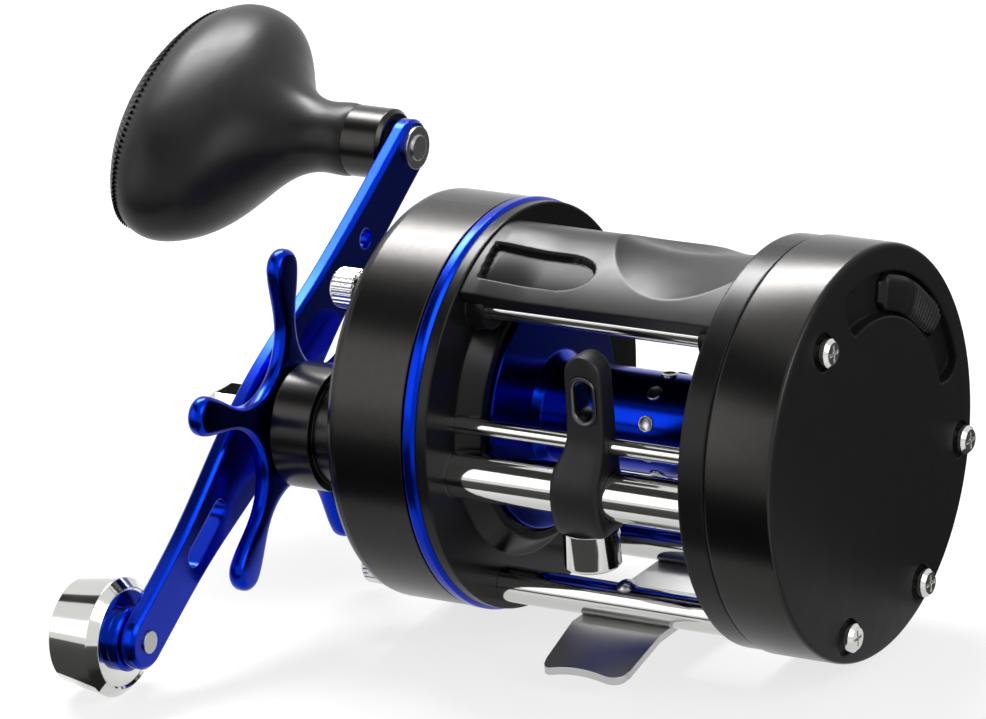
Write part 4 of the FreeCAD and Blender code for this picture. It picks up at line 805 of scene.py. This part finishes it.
def make_line_anchors():
    """Bright dished rims round the spool's line holes."""
    body = gather([loft(anchor_rings(number)) for number in range(ANCHORS)])
    add_piece("line_anchor_rims", mesh_of("line_anchor_rims", *body), "steel", "spool",
              sharp_angle=40.0)


make_line_anchors()

# ---------------------------------------------------------------- palm side cover
COVER_R = 30.0
COVER_X = (24.5, 35.3, 36.2)          # seat, edge of the face, middle of the face
COVER_BEVEL = (0.5, 0.4)              # at its seat, along x and in radius
COVER_WALL = 2.0
COVER_EDGE_R = 0.7
COVER_INNER_R = 27.8
COVER_STEPS = 200
FACE_STATIONS = 30
CORNER_STEPS = 6
NEAR_AXIS = 0.02                      # radius at which its face and inside end
BARE_RIM = (0.25, 0.2)                # how near the rim and how far behind the face paint ends
SCREW_SPOTS = ((33.6, 23.9), (155.0, 26.0), (205.0, 26.0), (255.0, 26.0))   # (angle, radius)
SCREW_RECESS = (34.9, 2.75)           # its floor and its radius
POCKET = (19.7, 26.1, 12.0, -77.0)    # inner and outer radius, first and last angle
POCKET_FLOOR = 34.0
POCKET_END_STEPS = 12
POCKET_END_FLAT = 0.5                 # how far its ends reach, as a share of a half circle
CUT_OUT_X = 38.0                      # where the cutters end, past the face


def cover_face(radius):
    share = radius / (COVER_R - COVER_EDGE_R)
    return COVER_X[1] + (COVER_X[2] - COVER_X[1]) * (1.0 - share ** 4)


def sector_prism(name, inner, outer, first, last, x0, x1, steps=40):
    """Part of a ring about the spool's axis with round ends."""
    half, middle = (outer - inner) / 2, (outer + inner) / 2
    ring = [polar(first + (last - first) * n / steps, outer) for n in range(steps + 1)]
    turn_way = math.copysign(1.0, last - first)
    for end, way in ((last, turn_way), (first, -turn_way)):
        for n in range(1, POCKET_END_STEPS):
            bend = math.pi * n / POCKET_END_STEPS
            reach = math.cos(bend) if end == last else -math.cos(bend)
            sweep = math.degrees(half * math.sin(bend) / middle) * way
            ring.append(polar(end + sweep * POCKET_END_FLAT, middle + half * reach))
        if end == last:
            ring += [polar(last + (first - last) * n / steps, inner) for n in range(steps + 1)]
    return solid_object(name, *prism([(x0, y, z) for y, z in ring], (x1 - x0, 0.0, 0.0)))


def cover_profile():
    """(x, radius) round the cover's section: seat, inside, crowned face and rounded rim."""
    seat, edge, _ = COVER_X
    along, inwards = COVER_BEVEL
    rim = COVER_R - COVER_EDGE_R
    wall = [(seat + along, COVER_R), (seat, COVER_R - inwards), (seat, COVER_INNER_R),
            (edge - COVER_WALL, COVER_INNER_R), (edge - COVER_WALL, NEAR_AXIS)]
    face = [(cover_face(radius), radius) for radius in
            [NEAR_AXIS] + [rim * n / FACE_STATIONS for n in range(1, FACE_STATIONS + 1)]]
    turns = [math.radians(90 / CORNER_STEPS * n) for n in range(1, CORNER_STEPS + 1)]
    corner = [(edge - COVER_EDGE_R + COVER_EDGE_R * math.cos(turn),
               rim + COVER_EDGE_R * math.sin(turn)) for turn in turns]
    return wall + face + corner


def make_palm_cover():
    """The turned cover, with the switch's pocket and a recess for each screw."""
    body = solid_object("cover_body", *lathe(cover_profile(), (0.0, AXIS_Z), COVER_STEPS))
    cutters = [sector_prism("click_pocket", *POCKET, POCKET_FLOOR, CUT_OUT_X)]
    recess_floor, recess_r = SCREW_RECESS
    for number, (angle, radius) in enumerate(SCREW_SPOTS):
        cutters.append(rod_along_x("screw_recess_%d" % number, recess_floor, CUT_OUT_X,
                                   polar(angle, radius), recess_r))
    mesh = cut_mesh("palm_cover_shell", body, cutters)
    mesh.materials.append(FINISHES["face_paint"])
    mesh.materials.append(FINISHES["black_anodised"])
    rim_from, face_from = COVER_R - BARE_RIM[0], COVER_X[1] - BARE_RIM[1]
    for polygon in mesh.polygons:
        y, z = polygon.center.y / MM, polygon.center.z / MM - AXIS_Z
        on_rim = math.hypot(y, z) > rim_from and polygon.center.x / MM < face_from
        polygon.material_index = 1 if on_rim else 0
    add_piece("palm_cover_shell", mesh, "black_gloss", "frame", ("left_side_cover",),
              sharp_angle=28.0)


make_palm_cover()

# ---------------------------------------------------------------- click switch
SWITCH = (20.3, 25.5, -14.0, -62.0)   # inner and outer radius, first and last angle
SWITCH_STEPS, SWITCH_ACROSS = 160, 12
SWITCH_HEIGHT = 1.9
# its height, the share of its width lost and its drift outwards in millimetres, each along its
# length from its first end (0) to its last (1); the height is a share of SWITCH_HEIGHT
SWITCH_RISE = ((0.0, 0.25), (0.05, 0.8), (0.3, 1.0), (0.42, 0.92), (0.9, 0.85), (1.0, 0.3))
SWITCH_NARROWING = ((0.0, 0.45), (0.07, 0.0), (0.8, 0.0), (1.0, 0.5))
SWITCH_DRIFT = ((0.6, 0.0), (1.0, 1.0))
SWITCH_RIBS = (0.45, 0.93, 22, 0.14)  # first and last place, waves in the whole length, height
SWITCH_SIDE = 0.75                    # share of its height at which its sides end
SWITCH_CROWN = 0.18                   # share of its height by which its top falls to its sides
SWITCH_TOP = 0.96                     # its top's width as a share of its whole
SWITCH_LIFT = 0.02


def switch_ring(share):
    """(x, radius) round the switch's section at a share of its length."""
    inner, outer = SWITCH[:2]
    height = SWITCH_HEIGHT * blend_curve(share, SWITCH_RISE)
    ribs_from, ribs_to, waves, rib_height = SWITCH_RIBS
    if ribs_from < share < ribs_to:
        height += rib_height * math.sin((share - ribs_from) * 2 * math.pi * waves)
    narrow = 0.5 * (outer - inner) * (1.0 - blend_curve(share, SWITCH_NARROWING))
    middle = (inner + outer) / 2 + blend_curve(share, SWITCH_DRIFT)
    low, high = POCKET_FLOOR + SWITCH_LIFT, POCKET_FLOOR + height * SWITCH_SIDE
    ring = [(low, middle - narrow), (high, middle - narrow)]
    for n in range(1, SWITCH_ACROSS):
        lean = -1.0 + 2.0 * n / SWITCH_ACROSS
        ring.append((POCKET_FLOOR + height * (1.0 - SWITCH_CROWN * lean ** 4),
                     middle + narrow * lean * SWITCH_TOP))
    return ring + [(high, middle + narrow), (low, middle + narrow)]


def make_click_switch():
    """Curved slide: a smooth thumb pad, a ribbed part and a low tail."""
    first, last = SWITCH[2:]
    rings = []
    for step in range(SWITCH_STEPS + 1):
        angle = first + (last - first) * step / SWITCH_STEPS
        rings.append([(x, *polar(angle, radius)) for x, radius in switch_ring(step / SWITCH_STEPS)])
    add_piece("click_switch_pad", mesh_of("click_switch_pad", *loft(rings)), "black_satin",
              "click_switch", ("click_slider",), sharp_angle=40.0)


make_click_switch()

# ---------------------------------------------------------------- knob's ribbed end
KNOB = (30.495, 52.694)
KNOB_TILT = 25.0
KNOB_START = -67.05
KNOB_LENGTH = 35.3
KNOB_RIBS = 120
# (share of the knob's length, half its long and its short width there)
RIB_STATIONS = ((0.905, 21.3, 11.5), (0.93, 20.2, 11.0), (0.952, 18.9, 10.45))
# (place across the rib as a share of its pitch, height above the knob), twice: foot and top
RIB_SECTION = ((-0.45, -0.6), (-0.15, 0.22), (0.15, 0.22), (0.45, -0.6))


def rib_rings(number):
    tilt = math.radians(KNOB_TILT)
    rings = []
    for share, long_half, short_half in RIB_STATIONS:
        ring = []
        for shift, lift in RIB_SECTION:
            turn = 2 * math.pi * (number + shift) / KNOB_RIBS
            a = (long_half + lift) * math.cos(turn)
            b = (short_half + lift) * math.sin(turn)
            ring.append((KNOB_START - share * KNOB_LENGTH,
                         KNOB[0] + a * math.cos(tilt) - b * math.sin(tilt),
                         KNOB[1] + a * math.sin(tilt) + b * math.cos(tilt)))
        rings.append(ring)
    return rings


def make_knob_ribs():
    """Short ribs round the knob where its side meets its end."""
    body = gather([loft(rib_rings(number)) for number in range(KNOB_RIBS)])
    add_piece("knob_end_ribs", mesh_of("knob_end_ribs", *body), "rubber", "knob",
              sharp_angle=30.0)


make_knob_ribs()

# ---------------------------------------------------------------- knurled take-down screws
TAKE_DOWN_SPOTS = (SCREW_SPOTS[0], SCREW_SPOTS[1], SCREW_SPOTS[3])
TAKE_DOWN_X = -38.1                   # the side plate's face
KNURLS = 26
KNURL_STEPS = 4                       # points to a knurl, half of them raised
KNURL_RISE = 1.06
HEAD_R = 2.8
# (distance out from the side plate, share of the head's radius)
HEAD_PROFILE = ((1.6, 0.86), (1.8, 1.0), (5.1, 1.0), (5.4, 0.9), (5.7, 0.78), (5.75, 0.3))


def knurled_head(spot):
    """Rings of points round a head; its full radius is knurled."""
    cy, cz = polar(*spot)
    steps = KNURLS * KNURL_STEPS
    rings = []
    for out_by, share in HEAD_PROFILE:
        ring = []
        for step in range(steps):
            turn = 2 * math.pi * step / steps
            raised = share == 1.0 and step % KNURL_STEPS < KNURL_STEPS / 2
            reach = HEAD_R * share * (KNURL_RISE if raised else 1.0)
            ring.append((TAKE_DOWN_X - out_by, cy + reach * math.cos(turn),
                         cz + reach * math.sin(turn)))
        rings.append(ring)
    return rings


def make_knurls():
    """Fine ridges round the take-down screws' heads."""
    body = gather([loft(knurled_head(spot)) for spot in TAKE_DOWN_SPOTS])
    add_piece("take_down_knurls", mesh_of("take_down_knurls", *body), "chrome", "frame",
              sharp_angle=25.0)


make_knurls()

bpy.context.scene.view_settings.view_transform = "Standard"
